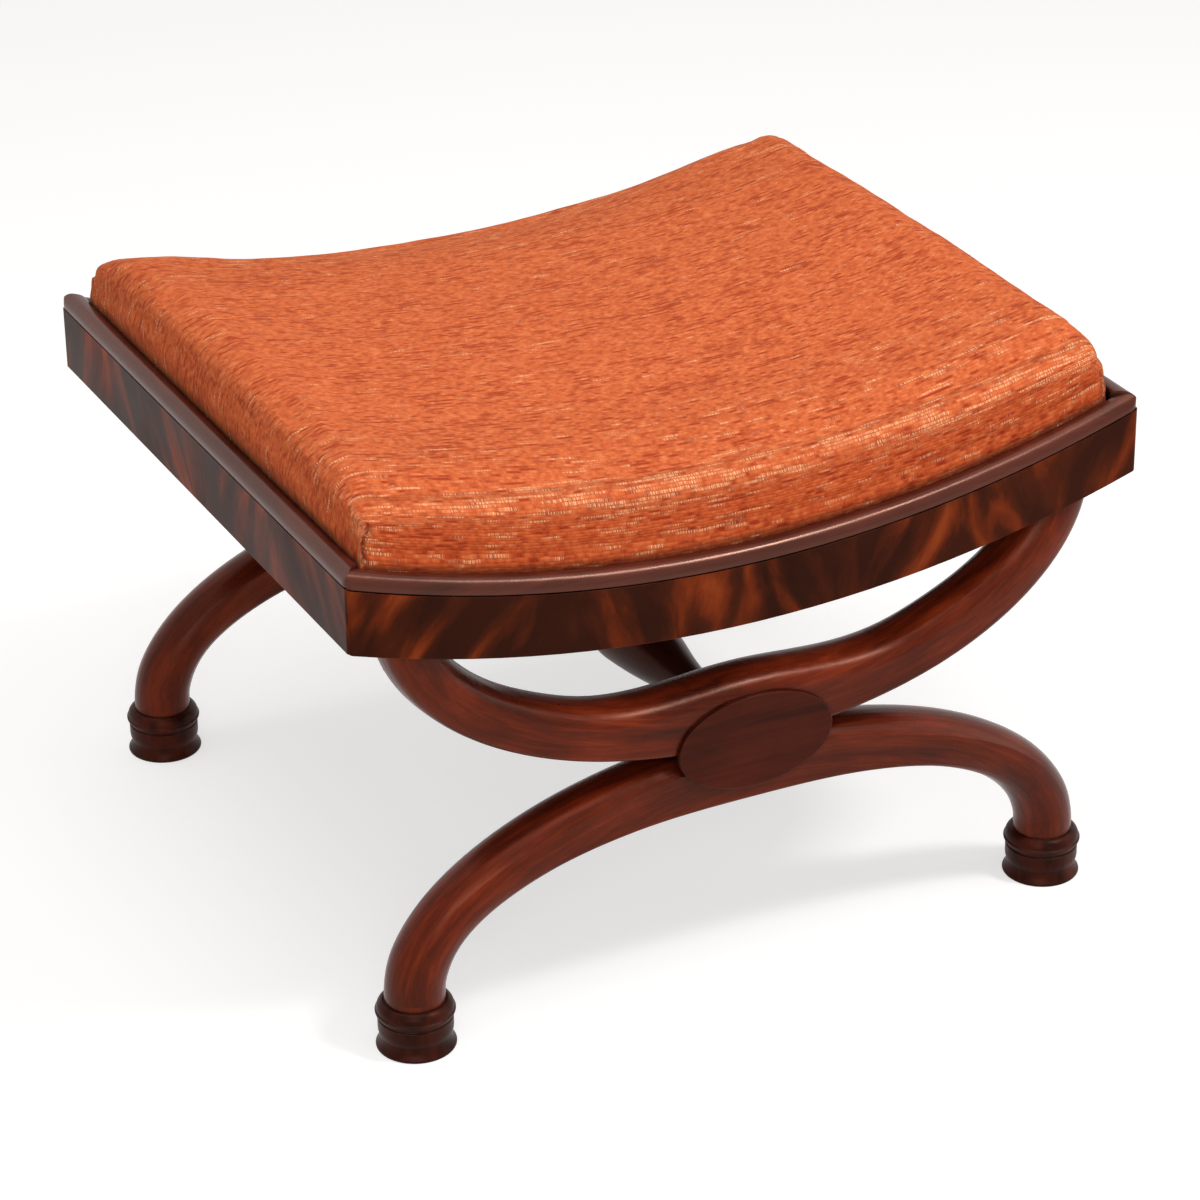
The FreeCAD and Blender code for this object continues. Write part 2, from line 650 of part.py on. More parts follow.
def foot():
    """Turned foot under the front left leg, with a cup and a socket for the leg."""
    base, waist, drum, ring = FOOT_BASE_RADIUS, FOOT_WAIST_RADIUS, FOOT_DRUM_RADIUS, FOOT_RING_RADIUS
    height = FOOT_HEIGHT
    cup_radius = LEG_DIAMETER / 2 + JOINT_CLEARANCE
    cup_floor = height - FOOT_CUP_DEPTH
    socket_radius = LEG_TENON_DIAMETER / 2 + JOINT_CLEARANCE
    socket_floor = cup_floor - LEG_TENON_LENGTH - SOCKET_END_CLEARANCE
    outline = [
        (0, 0), (FOOT_SOLE_RADIUS, 0),
        ((base, 0.035 * height), (base - 0.5, 0.075 * height)),
        ((waist + 0.8, 0.16 * height), (waist, 0.26 * height)),
        ((drum - 0.5, 0.33 * height), (drum, 0.43 * height)),
        (drum, 0.62 * height),
        (drum - 0.9, 0.635 * height), (drum - 0.9, 0.67 * height), (drum, 0.69 * height),
        ((ring - 0.3, 0.735 * height), (ring, 0.785 * height)),
        (ring - 0.9, 0.81 * height), (ring - 1.0, 0.84 * height),
        ((ring - 2.2, 0.93 * height), (FOOT_RIM_RADIUS, height)),
        (cup_radius, height), (cup_radius, cup_floor),
        (socket_radius, cup_floor), (socket_radius, socket_floor), (0, socket_floor),
    ]
    piece = turned_piece(outline)
    piece.translate(Vector(-LEG_CENTRE, MEMBER_MIDDLE, 0))
    return piece


def stretcher():
    """Turned stretcher between the X frames, with round tenons that end behind the bosses."""
    inner = -MEMBER_BACK
    tenon_end = -MEMBER_FRONT
    tenon = STRETCHER_TENON_DIAMETER / 2
    bulb, neck, collar = STRETCHER_BULB_RADIUS, STRETCHER_NECK_RADIUS, STRETCHER_COLLAR_RADIUS
    waist, ring = STRETCHER_WAIST_RADIUS, STRETCHER_RING_RADIUS
    outline = [
        (0, 0), (ring, 0),
        ((ring - 0.4, 0.018 * inner), (waist + 1.5, 0.03 * inner)),
        (waist, 0.045 * inner),
        ((waist + 0.4, 0.1 * inner), (waist + 3, 0.15 * inner)),
        ((bulb - 0.7, 0.24 * inner), (bulb, 0.34 * inner)),
        ((bulb - 3.2, 0.48 * inner), (0.69 * bulb, 0.62 * inner)),
        ((neck + 0.6, 0.76 * inner), (neck, 0.86 * inner)),
        (collar - 1.5, 0.875 * inner),
        ((collar, 0.89 * inner), (collar - 1.5, 0.905 * inner)),
        (neck + 0.8, 0.92 * inner),
        ((neck + 1.4, 0.96 * inner), (collar, 0.985 * inner)),
        (collar, inner), (tenon, inner), (tenon, tenon_end), (0, tenon_end),
    ]
    front_half = turned_piece(outline)
    whole = front_half.fuse(mirrored(front_half, Vector(0, 0, 1))).removeSplitter()
    return placed(whole, Vector(0, 0, CROSSING_HEIGHT), Vector(0, 1, 0))


# Loose seat

def half_seat_section(x, inset):
    """Rear half of the seat's section at x, from the bottom up: ends and middles of its runs."""
    toward_end = (x / COVER_HALF_LENGTH) ** 2
    rise = SEAT_CENTRE_RISE + (SEAT_END_RISE - SEAT_CENTRE_RISE) * toward_end
    crown = SEAT_CENTRE_CROWN + (SEAT_END_CROWN - SEAT_CENTRE_CROWN) * toward_end
    side = COVER_HALF_DEPTH - inset
    knee = dish_height(x) + BEAD_HEIGHT + 1
    shoulder = SEAT_SIDE_SHOULDER - inset
    shoulder_y = side + SEAT_BULGE - shoulder
    shoulder_z = dish_height(x) + rise - crown - SEAT_SIDE_SHOULDER
    crown_radius = (shoulder_y ** 2 + crown ** 2 + 2 * crown * shoulder) / (2 * crown)
    crown_centre = shoulder_z + crown + shoulder - crown_radius
    lean = math.atan2(shoulder_z - crown_centre, shoulder_y)
    swell_height = shoulder_z - knee
    swell_turn = 2 * math.atan(SEAT_BULGE / swell_height)
    swell_radius = swell_height / (2 * math.sin(swell_turn))
    swell_out = swell_radius * (1 - math.cos(swell_turn / 2))
    swell_up = swell_radius * math.sin(swell_turn / 2)
    places = [
        (side, dish_height(x, LEDGE_DEPTH) - SEAT_END_SHOULDER), (side, knee),
        (side + swell_out, knee + swell_up), (side + SEAT_BULGE / 2, knee + swell_height / 2),
        (side + SEAT_BULGE - swell_out, shoulder_z - swell_up), (side + SEAT_BULGE, shoulder_z),
        (shoulder_y + shoulder * math.cos(lean / 2), shoulder_z + shoulder * math.sin(lean / 2)),
        (shoulder_y + shoulder * math.cos(lean), shoulder_z + shoulder * math.sin(lean)),
        (0, crown_centre + crown_radius),
    ]
    return [Vector(x, y, z) for y, z in places]


def seat_section(x, inset):
    """Section across the stuffed seat: sides that swell over the bead, round shoulders, crowned top."""
    rear = half_seat_section(x, inset)
    front = [Vector(point.x, -point.y, point.z) for point in rear[:-1]][::-1]
    arcs = rear[1:] + front[:-1]
    edges = [segment(front[-1], rear[0]), segment(rear[0], rear[1])]
    for index in range(0, len(arcs) - 2, 2):
        edges.append(Part.Arc(*arcs[index:index + 3]).toShape())
    edges.append(segment(front[-2], front[-1]))
    return Part.Wire(edges)


def end_relief(inset):
    """Space beside the bead that the full left end of the seat draws in from, for cutting."""
    x_low = -COVER_HALF_LENGTH - SEAT_BULGE + inset
    x_high = x_low + SEAT_BULGE
    knee = QUIRK_HEIGHT + BEAD_HEIGHT + 1
    swell = SEAT_END_RISE - SEAT_SIDE_SHOULDER - SEAT_END_CROWN - BEAD_HEIGHT
    start, end = Vector(x_high, 0, knee), Vector(x_low, 0, knee + swell)
    middle = Vector(x_low + 0.3 * SEAT_BULGE, 0, knee + swell / 2)
    far_top, far_low = Vector(x_low - FAR, 0, end.z), Vector(x_low - FAR, 0, 0)
    corner = Vector(x_high, 0, 0)
    outline = [Part.Arc(start, middle, end).toShape(), segment(end, far_top), segment(far_top, far_low)]
    outline += [segment(far_low, corner), segment(corner, start)]
    relief = Part.Face(Part.Wire(outline)).extrude(Vector(0, 2 * FAR, 0))
    relief.translate(Vector(0, -FAR, 0))
    return relief


def seat_form(inset, bottom):
    """Crowned, dished form of the stuffed seat, with rounded ends, cut to the dish at its underside."""
    end = COVER_HALF_LENGTH + SEAT_BULGE - inset
    stations = [end * index / 3 for index in range(-3, 4)]
    form = Part.makeLoft([seat_section(x, inset) for x in stations], True, False)
    rim = []
    for edge in form.Edges:
        box = edge.BoundBox
        flat = box.ZLength < 1 and box.ZMin < dish_height(end)
        if abs(box.Center.x) > end - 0.1 and box.XLength < 0.1 and not flat:
            rim.append(edge)
    form = form.makeFillet(SEAT_END_SHOULDER - inset, rim)
    return form.cut(both_ends(end_relief(inset))).cut(below_dish(bottom))


def seat_cover():
    """Cover drawn over the pad and the seat frame, and turned under its edge."""
    outer = seat_form(0, SEAT_UNDERSIDE)
    inner = seat_form(COVER_THICKNESS, SEAT_MEMBER_BOTTOM)
    open_length = SEAT_HALF_LENGTH - COVER_TURN_UNDER
    open_depth = SEAT_HALF_DEPTH - COVER_TURN_UNDER
    opening = dish_slab(
        -open_length, open_length, -open_depth, open_depth,
        SEAT_MEMBER_BOTTOM - COVER_THICKNESS, SEAT_UNDERSIDE + COVER_THICKNESS,
    )
    return outer.cut(inner).cut(opening)


def stuffing_pad():
    return seat_form(COVER_THICKNESS, HESSIAN_TOP - PAD_CLEARANCE)


def seat_front_member():
    """Front member of the seat frame, its outer corners cut off under the rounded cover."""
    inner = SEAT_HALF_DEPTH - SEAT_MEMBER_WIDTH
    member = dish_slab(
        -SEAT_HALF_LENGTH, SEAT_HALF_LENGTH, -SEAT_HALF_DEPTH, -inner,
        SEAT_MEMBER_TOP, SEAT_MEMBER_BOTTOM,
    )
    corner_radius = SEAT_END_SHOULDER - COVER_THICKNESS
    corner = Vector(-SEAT_HALF_LENGTH, -SEAT_HALF_DEPTH, 0)
    points = [corner, corner + Vector(corner_radius, 0, 0), corner + Vector(0, corner_radius, 0)]
    snip = Part.Face(Part.makePolygon(points + [corner])).extrude(Vector(0, 0, FAR))
    snip.translate(Vector(0, 0, -FAR / 2))
    member = member.cut([snip, mirrored(snip, Vector(1, 0, 0))])
    return member.cut(seat_dowels(JOINT_CLEARANCE, SOCKET_END_CLEARANCE))


def seat_left_member():
    inner = SEAT_HALF_DEPTH - SEAT_MEMBER_WIDTH
    member = dish_slab(
        -SEAT_HALF_LENGTH, SEAT_MEMBER_WIDTH - SEAT_HALF_LENGTH, -inner, inner,
        SEAT_MEMBER_TOP, SEAT_MEMBER_BOTTOM,
    )
    return member.cut(seat_dowels(JOINT_CLEARANCE, SOCKET_END_CLEARANCE))


def seat_dowels(grow=0.0, extra=0.0):
    """Two dowels across each corner joint of the seat frame."""
    joint = SEAT_HALF_DEPTH - SEAT_MEMBER_WIDTH
    length = SEAT_DOWEL_LENGTH + 2 * extra
    middle_depth = (SEAT_MEMBER_TOP + SEAT_MEMBER_BOTTOM) / 2
    dowels = []
    for share in (0.28, 0.72):
        x = SEAT_HALF_LENGTH - SEAT_MEMBER_WIDTH * share
        start = Vector(-x, -joint - length / 2, dish_height(x, middle_depth))
        dowels += in_four_corners(rod(start, Vector(0, 1, 0), SEAT_DOWEL_DIAMETER / 2 + grow, length))
    return dowels


def spread_evenly(count, reach):
    """Places of equal spacing from -reach to reach."""
    return [reach * (2 * index / (count - 1) - 1) for index in range(count)]


def crosswise_places():
    open_half = SEAT_HALF_LENGTH - SEAT_MEMBER_WIDTH
    return spread_evenly(CROSSWISE_BANDS, open_half * (1 - 1 / CROSSWISE_BANDS))


def lengthwise_places():
    open_half = SEAT_HALF_DEPTH - SEAT_MEMBER_WIDTH
    return spread_evenly(LENGTHWISE_BANDS, open_half * (1 - 1 / LENGTHWISE_BANDS))


def crosswise_webbing():
    reach = SEAT_HALF_DEPTH - SEAT_MEMBER_WIDTH + WEBBING_HOLD
    half = WEBBING_WIDTH / 2
    levels = (WEBBING_TOP, SEAT_MEMBER_TOP)
    return [dish_slab(x - half, x + half, -reach, reach, *levels) for x in crosswise_places()]


def lengthwise_webbing():
    """Bands that pass under the crosswise ones and rise on to the end members of the seat frame."""
    half = WEBBING_WIDTH / 2
    inner = SEAT_HALF_LENGTH - SEAT_MEMBER_WIDTH
    reach = inner + WEBBING_HOLD
    low_end = crosswise_places()[-1] + half + 1
    under = SEAT_MEMBER_TOP + WEBBING_THICKNESS
    upper = [
        dish_arc(-reach, -inner, WEBBING_TOP),
        dish_arc(-low_end, low_end, SEAT_MEMBER_TOP),
        dish_arc(inner, reach, WEBBING_TOP),
    ]
    lower = [
        dish_arc(inner, reach, SEAT_MEMBER_TOP),
        dish_arc(-low_end, low_end, under),
        dish_arc(-reach, -inner, SEAT_MEMBER_TOP),
    ]
    edges = []
    here = None
    for arc, forward in [(arc, True) for arc in upper] + [(arc, False) for arc in lower]:
        ends = [vertex.Point for vertex in arc.Vertexes]
        start, end = ends if forward else ends[::-1]
        if here is not None:
            edges.append(segment(here, start))
        edges.append(arc)
        here = end
    edges.append(segment(here, upper[0].Vertexes[0].Point))
    face = Part.Face(Part.Wire(edges))
    bands = []
    for y in lengthwise_places():
        band = face.extrude(Vector(0, WEBBING_WIDTH, 0))
        band.translate(Vector(0, y - half, 0))
        bands.append(band)
    return bands


def hessian():
    half_length = SEAT_HALF_LENGTH - HESSIAN_MARGIN
    half_depth = SEAT_HALF_DEPTH - HESSIAN_MARGIN
    return dish_slab(-half_length, half_length, -half_depth, half_depth, HESSIAN_TOP, WEBBING_TOP)


def dust_cover():
    margin = COVER_TURN_UNDER + JOINT_CLEARANCE
    half_length = SEAT_HALF_LENGTH - margin
    half_depth = SEAT_HALF_DEPTH - margin
    return dish_slab(
        -half_length, half_length, -half_depth, half_depth,
        SEAT_MEMBER_BOTTOM, SEAT_MEMBER_BOTTOM + DUST_COVER_THICKNESS,
    )


# Tacks

def tack():
    """Cut tack with a square tapered shank, its head's top at the origin and its point along -Z."""
    corners = []
    for index in range(6):
        turn = math.radians(60 * index)
        corners.append(Vector(TACK_HEAD_RADIUS * math.cos(turn), TACK_HEAD_RADIUS * math.sin(turn), 0))
    head = Part.Face(Part.makePolygon(corners + [corners[0]])).extrude(Vector(0, 0, -TACK_HEAD_THICKNESS))
    wires = []
    for side, z in ((TACK_SHANK_SIDE, -TACK_HEAD_THICKNESS), (0.3, -TACK_SHANK_LENGTH)):
        h = side / 2
        square = [Vector(-h, -h, z), Vector(h, -h, z), Vector(h, h, z), Vector(-h, h, z)]
        wires.append(Part.makePolygon(square + [square[0]]))
    return head.fuse(Part.makeLoft(wires, True, True))


def dish_normal(x):
    """Direction straight up out of the dish at x."""
    return Vector(-x, 0, DISH_CENTRE_HEIGHT - dish_height(x)).normalize()


def dish_tack(x, y, depth, upward):
    """Tack driven square to the dish, with the top of its head at the given depth."""
    position = Vector(x, y, dish_height(x, depth))
    direction = dish_normal(x)
    return placed(tack(), position, direction if upward else direction * -1)


def webbing_tacks():
    """Two tacks at each end of each band, driven down into the seat frame."""
    tacks = []
    offset = WEBBING_WIDTH / 4
    top = WEBBING_TOP
    row_y = SEAT_HALF_DEPTH - SEAT_MEMBER_WIDTH + WEBBING_HOLD / 2
    row_x = SEAT_HALF_LENGTH - SEAT_MEMBER_WIDTH + WEBBING_HOLD / 2
    for x in crosswise_places():
        for side in (-1, 1):
            tacks += [dish_tack(x + step, side * row_y, top, True) for step in (-offset, offset)]
    for y in lengthwise_places():
        for side in (-1, 1):
            tacks += [dish_tack(side * row_x, y + step, top, True) for step in (-offset, offset)]
    return tacks


def cover_tacks():
    """Tacks through the turned-under edge of the cover, inside the ledge that the seat rests on."""
    row_x = SEAT_HALF_LENGTH - COVER_TACK_INSET
    row_y = SEAT_HALF_DEPTH - COVER_TACK_INSET
    depth = SEAT_UNDERSIDE + TACK_HEAD_THICKNESS
    tacks = []
    for x in spread_evenly(COVER_TACKS_LONG_SIDE, SEAT_HALF_LENGTH - COVER_TACK_CORNER_GAP):
        tacks += [dish_tack(x, side * row_y, depth, False) for side in (-1, 1)]
    for y in spread_evenly(COVER_TACKS_SHORT_SIDE, SEAT_HALF_DEPTH - COVER_TACK_CORNER_GAP):
        tacks += [dish_tack(side * row_x, y, depth, False) for side in (-1, 1)]
    return tacks


# Assembly

def stool_pieces():
    """Every piece of the stool by name, a group of like pieces as a list."""
    pieces = {
        "front_rail": front_rail(),
        "left_rail": left_rail(),
        "front_rail_veneer": front_veneer(),
        "left_rail_veneer": left_veneer(),
        "front_bead": front_bead(),
        "left_bead": left_bead(),
        "front_upper_support": upper_support(),
        "front_leg_arch": leg_arch(),
        "front_oval_boss": oval_boss(),
        "seat_frame_front": seat_front_member(),
        "seat_frame_left": seat_left_member(),
    }
    under_tacks = cover_tacks()
    over_tacks = webbing_tacks()
    for name in ("seat_frame_front", "seat_frame_left"):
        pieces[name] = pieces[name].cut(under_tacks + over_tacks)
    for name in list(pieces):
        opposite = name.replace("front", "rear").replace("left", "right")
        pieces[opposite] = half_turn(pieces[name])
    corners = ("front_left", "front_right", "rear_right", "rear_left")
    for name, shape in zip(corners, in_four_corners(corner_block())):
        pieces[name + "_corner_block"] = shape
    for name, shape in zip(corners, in_four_corners(foot())):
        pieces[name + "_foot"] = shape
    for name, (place, direction, length) in zip(("arm_screws", "corner_block_screws"), rail_screws()):
        pieces[name] = in_four_corners(placed(screw(length), place, direction))
    pieces["crossing_dowels"] = in_four_corners(crossing_dowel())
    pieces["stretcher"] = stretcher()
    pieces["seat_frame_dowels"] = seat_dowels()
    pieces["crosswise_webbing"] = [band.cut(over_tacks) for band in crosswise_webbing()]
    pieces["lengthwise_webbing"] = [band.cut(over_tacks) for band in lengthwise_webbing()]
    pieces["webbing_tacks"] = over_tacks
    pieces["hessian"] = hessian()
    pieces["stuffing_pad"] = stuffing_pad()
    pieces["seat_cover"] = seat_cover().cut(under_tacks)
    pieces["cover_tacks"] = under_tacks
    pieces["dust_cover"] = dust_cover()
    return pieces


def write_pieces(pieces):
    os.makedirs("parts", exist_ok=True)
    for name, piece in pieces.items():
        shapes = piece if isinstance(piece, list) else [piece]
        solids = [solid for shape in shapes for solid in shape.Solids]
        group = solids[0] if len(solids) == 1 else Part.makeCompound(solids)
        group.exportStep("parts/" + name + ".step")
        volume = sum(solid.Volume for solid in solids)
        valid = all(solid.isValid() for solid in solids)
        print(f"{name}: {len(solids)} solids, {volume / 1000:.1f} cm3, valid {valid}")


write_pieces(stool_pieces())
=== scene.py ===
import math

import bpy
import numpy as np
from mathutils import Matrix, Vector, noise
from mathutils.bvhtree import BVHTree


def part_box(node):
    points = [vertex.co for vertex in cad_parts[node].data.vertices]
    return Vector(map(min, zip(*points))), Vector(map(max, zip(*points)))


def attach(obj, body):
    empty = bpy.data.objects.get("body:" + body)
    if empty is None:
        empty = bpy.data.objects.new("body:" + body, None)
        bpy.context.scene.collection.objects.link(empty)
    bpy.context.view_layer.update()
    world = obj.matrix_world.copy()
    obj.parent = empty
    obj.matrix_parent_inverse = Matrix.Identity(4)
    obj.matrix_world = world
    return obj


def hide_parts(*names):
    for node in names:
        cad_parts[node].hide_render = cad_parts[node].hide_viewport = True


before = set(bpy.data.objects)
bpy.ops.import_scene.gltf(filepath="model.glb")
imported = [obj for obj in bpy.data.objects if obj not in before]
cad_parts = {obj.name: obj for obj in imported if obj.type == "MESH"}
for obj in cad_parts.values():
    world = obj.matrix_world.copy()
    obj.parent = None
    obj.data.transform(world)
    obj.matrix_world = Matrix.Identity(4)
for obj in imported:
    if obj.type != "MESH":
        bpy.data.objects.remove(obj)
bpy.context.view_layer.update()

# A low dished stool on two X frames. The frame gives the places, in metres:
# X along the front rail, Y from front to rear, Z up from the floor.

# Camera, solved from the corners of the seat frame and the feet
IMAGE_SIZE = 1200
FOCAL_PIXELS = 4101.65
SENSOR_WIDTH = 36.0
CAMERA_PLACE = Vector((-1.18493, -2.41646, 1.54235))
CAMERA_YAW = math.radians(26.324)
CAMERA_PITCH = math.radians(26.955)
CAMERA_ROLL = math.radians(-0.715)

# Lines of the rails, the dish and the seat, read from the frame
RAIL_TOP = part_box("left_rail_veneer")[1].z
HALF_LENGTH = -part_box("left_rail_veneer")[0].x
HALF_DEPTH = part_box("rear_rail_veneer")[1].y
RAIL_FACE = RAIL_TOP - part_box("left_rail_veneer")[0].z
DISH_RADIUS = 0.93
DISH_CENTRE = RAIL_TOP + math.sqrt(DISH_RADIUS ** 2 - HALF_LENGTH ** 2)
FRAME_REACH = Vector((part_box("seat_frame_right")[1].x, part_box("seat_frame_rear")[1].y))
SEAT_BULGE = 0.003
COVER_THICKNESS = 0.002
COVER_REACH = Vector((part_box("seat_cover")[1].x - SEAT_BULGE, FRAME_REACH.y + COVER_THICKNESS))

# Heights at which the curved members leave the upright
SUPPORT_SPRING = 0.3234
ARCH_SPRING = 0.0411

# Rises over the top line of the rails, along the dish
KNEE_RISE = 0.013
SIDE_RISE = 0.037
END_RISE = 0.0585
CENTRE_RISE = 0.0645
UNDERSIDE = -0.0097
FRAME_BOTTOM = -0.0082
PAD_BOTTOM = 0.0138

# Shape of the seat, its cloth and the bead round it
END_CROWN = 0.005
CENTRE_CROWN = 0.012
END_SHOULDER = 0.017
SIDE_SHOULDER = 0.026
SIDE_STEPS = 8
TURN_UNDER = 0.042
CORNER_DROP = 0.006
HELD_RISE = 0.012
YARN_PITCH = 0.0024
BEAD_HEIGHT = 0.012
BEAD_CORNER = 0.006

# Share of the world's light that falls on things; what is seen of it directly is white
WORLD_LEVEL = 0.34


def dish(x, rise=0.0):
    """Height at x of the arc that lies above the dished rail's top line by the given rise."""
    return DISH_CENTRE - math.sqrt((DISH_RADIUS - rise) ** 2 - x * x)


def smooth(value):
    """Smooth step from 0 to 1."""
    value = min(1.0, max(0.0, value))
    return value * value * (3 - 2 * value)


def mix(low, high, share):
    """Value at a share of the way from low to high."""
    return low + (high - low) * share


def add_object(mesh):
    """New object in the scene for a mesh."""
    piece = bpy.data.objects.new(mesh.name, mesh)
    bpy.context.scene.collection.objects.link(piece)
    return piece


# Material graphs

class Graph:
    """A material's nodes, with short ways to add the ones that repeat."""

    def __init__(self, name):
        self.material = bpy.data.materials.new(name)
        self.material.use_nodes = True
        self.tree = self.material.node_tree
        self.tree.nodes.clear()
        self.output = self.add("ShaderNodeOutputMaterial")
        self.shader = self.add("ShaderNodeBsdfPrincipled")
        self.tree.links.new(self.shader.outputs[0], self.output.inputs["Surface"])

    def add(self, kind, values=None, **settings):
        node = self.tree.nodes.new(kind)
        for key, value in settings.items():
            setattr(node, key, value)
        for key, value in (values or {}).items():
            self.feed(node.inputs[key], value)
        return node

    def feed(self, socket, value):
        if isinstance(value, bpy.types.NodeSocket):
            self.tree.links.new(value, socket)
        elif isinstance(value, tuple) and len(value) == 3 and socket.type == "RGBA":
            socket.default_value = (*value, 1.0)
        else:
            socket.default_value = value

    def surface(self, **values):
        for key, value in values.items():
            self.feed(self.shader.inputs[key.replace("_", " ")], value)

    def place(self):
        return self.add("ShaderNodeTexCoord").outputs["Object"]

    def split(self, vector):
        return self.add("ShaderNodeSeparateXYZ", {0: vector}).outputs

    def join(self, x, y, z):
        return self.add("ShaderNodeCombineXYZ", {0: x, 1: y, 2: z}).outputs[0]

    def sum(self, operation, first, second=0.0, third=0.0):
        values = {0: first, 1: second, 2: third}
        return self.add("ShaderNodeMath", values, operation=operation).outputs[0]

    def scaled(self, vector, x, y, z):
        values = {0: vector, 1: (x, y, z)}
        return self.add("ShaderNodeVectorMath", values, operation="MULTIPLY").outputs[0]

    def noise(self, vector, scale, detail=3.0, roughness=0.55, distortion=0.0):
        values = {"Vector": vector, "Scale": scale, "Detail": detail, "Roughness": roughness}
        values["Distortion"] = distortion
        return self.add("ShaderNodeTexNoise", values).outputs[0]

    def cells(self, vector, scale):
        """Distance to the nearest of scattered points."""
        return self.add("ShaderNodeTexVoronoi", {"Vector": vector, "Scale": scale}).outputs["Distance"]

    def ramp(self, value, *stops):
        """Colours or levels at given places, blended between them."""
        node = self.add("ShaderNodeValToRGB", {0: value})
        elements = node.color_ramp.elements
        while len(elements) < len(stops):
            elements.new(0.5)
        for element, (place, level) in zip(elements, stops):
            element.position = place
            colour = level if isinstance(level, tuple) else (level, level, level)
            element.color = (*colour, 1.0)
        return node.outputs[0]

    def blend(self, share, first, second, mode="MIX"):
        node = self.add("ShaderNodeMix", data_type="RGBA", blend_type=mode)
        self.feed(node.inputs[0], share)
        self.feed(node.inputs[6], first)
        self.feed(node.inputs[7], second)
        return node.outputs[2]

    def bump(self, height, distance, strength):
        values = {"Height": height, "Distance": distance, "Strength": strength}
        self.feed(self.shader.inputs["Normal"], self.add("ShaderNodeBump", values).outputs[0])

    def worn_edge(self, radius, gain):
        """High on sharp edges and low on flat ground."""
        rounded = self.add("ShaderNodeBevel", {"Radius": radius}, samples=6).outputs[0]
        plain = self.add("ShaderNodeNewGeometry").outputs["Normal"]
        dot = self.add("ShaderNodeVectorMath", {0: rounded, 1: plain}, operation="DOT_PRODUCT")
        turned = self.sum("SUBTRACT", 1.0, dot.outputs["Value"])
        scaled = self.add("ShaderNodeMath", {0: turned, 1: gain}, operation="MULTIPLY", use_clamp=True)
        return scaled.outputs[0]

    def crevice(self, distance):
        """Low in grooves, joints and corners, 1 on open ground."""
        return self.add("ShaderNodeAmbientOcclusion", {"Distance": distance}, samples=6).outputs["AO"]


# Woods

def finish_wood(graph, colour, streaks, pits=0.5, wear=None, roughness=0.33, specular=0.12):
    """Polish, pits, painted shade in the joints and edge wear that every polished wood here shares."""
    place = graph.place()
    smears = graph.noise(place, 14, 4)
    pit = graph.ramp(graph.cells(place, 55), (0.0, 1.0), (0.05, 0.0))
    chosen = graph.ramp(graph.noise(place, 23, 2), (0.5, 0.0), (0.62, 1.0))
    pit = graph.sum("MULTIPLY", pit, chosen)
    colour = graph.blend(graph.sum("MULTIPLY", pit, pits), colour, (0.006, 0.002, 0.0015))
    shade = graph.ramp(smears, (0.3, 0.72), (0.7, 1.15))
    colour = graph.blend(1.0, colour, shade, "MULTIPLY")
    # Darker in grooves, joints and corners from ambient occlusion: painted shade.
    painted_crevice_shade = graph.ramp(graph.crevice(0.01), (0.35, 0.1), (0.9, 1.0))
    colour = graph.blend(1.0, colour, painted_crevice_shade, "MULTIPLY")
    if wear:
        share, worn_colour = wear
        patches = graph.ramp(graph.noise(place, 60, 3), (0.38, 0.15), (0.62, 1.0))
        edge = graph.sum("MULTIPLY", graph.worn_edge(0.0011, 3.5), patches)
        colour = graph.blend(graph.sum("MULTIPLY", edge, share), colour, worn_colour)
    levels = {0: smears, 1: 0.25, 2: 0.75, 3: roughness - 0.05, 4: roughness + 0.09}
    gloss = graph.add("ShaderNodeMapRange", levels).outputs[0]
    graph.surface(Base_Color=colour, Roughness=gloss, Specular_IOR_Level=specular)
    graph.surface(Specular_Tint=(1.0, 0.55, 0.42, 1.0))
    relief = graph.sum("ADD", graph.sum("MULTIPLY", streaks, 0.35), graph.sum("MULTIPLY", pit, -1.6))
    graph.bump(relief, 0.00022, 0.7)
    return graph.material


def above_rail_middle(graph, x, z, dished):
    """Height over the middle line of a rail's face."""
    if not dished:
        return graph.sum("SUBTRACT", z, RAIL_TOP - RAIL_FACE / 2)
    squared = graph.sum("SUBTRACT", DISH_RADIUS ** 2, graph.sum("MULTIPLY", x, x))
    line = graph.sum("SUBTRACT", DISH_CENTRE - RAIL_FACE / 2, graph.sum("SQRT", squared))
    return graph.sum("SUBTRACT", z, line)


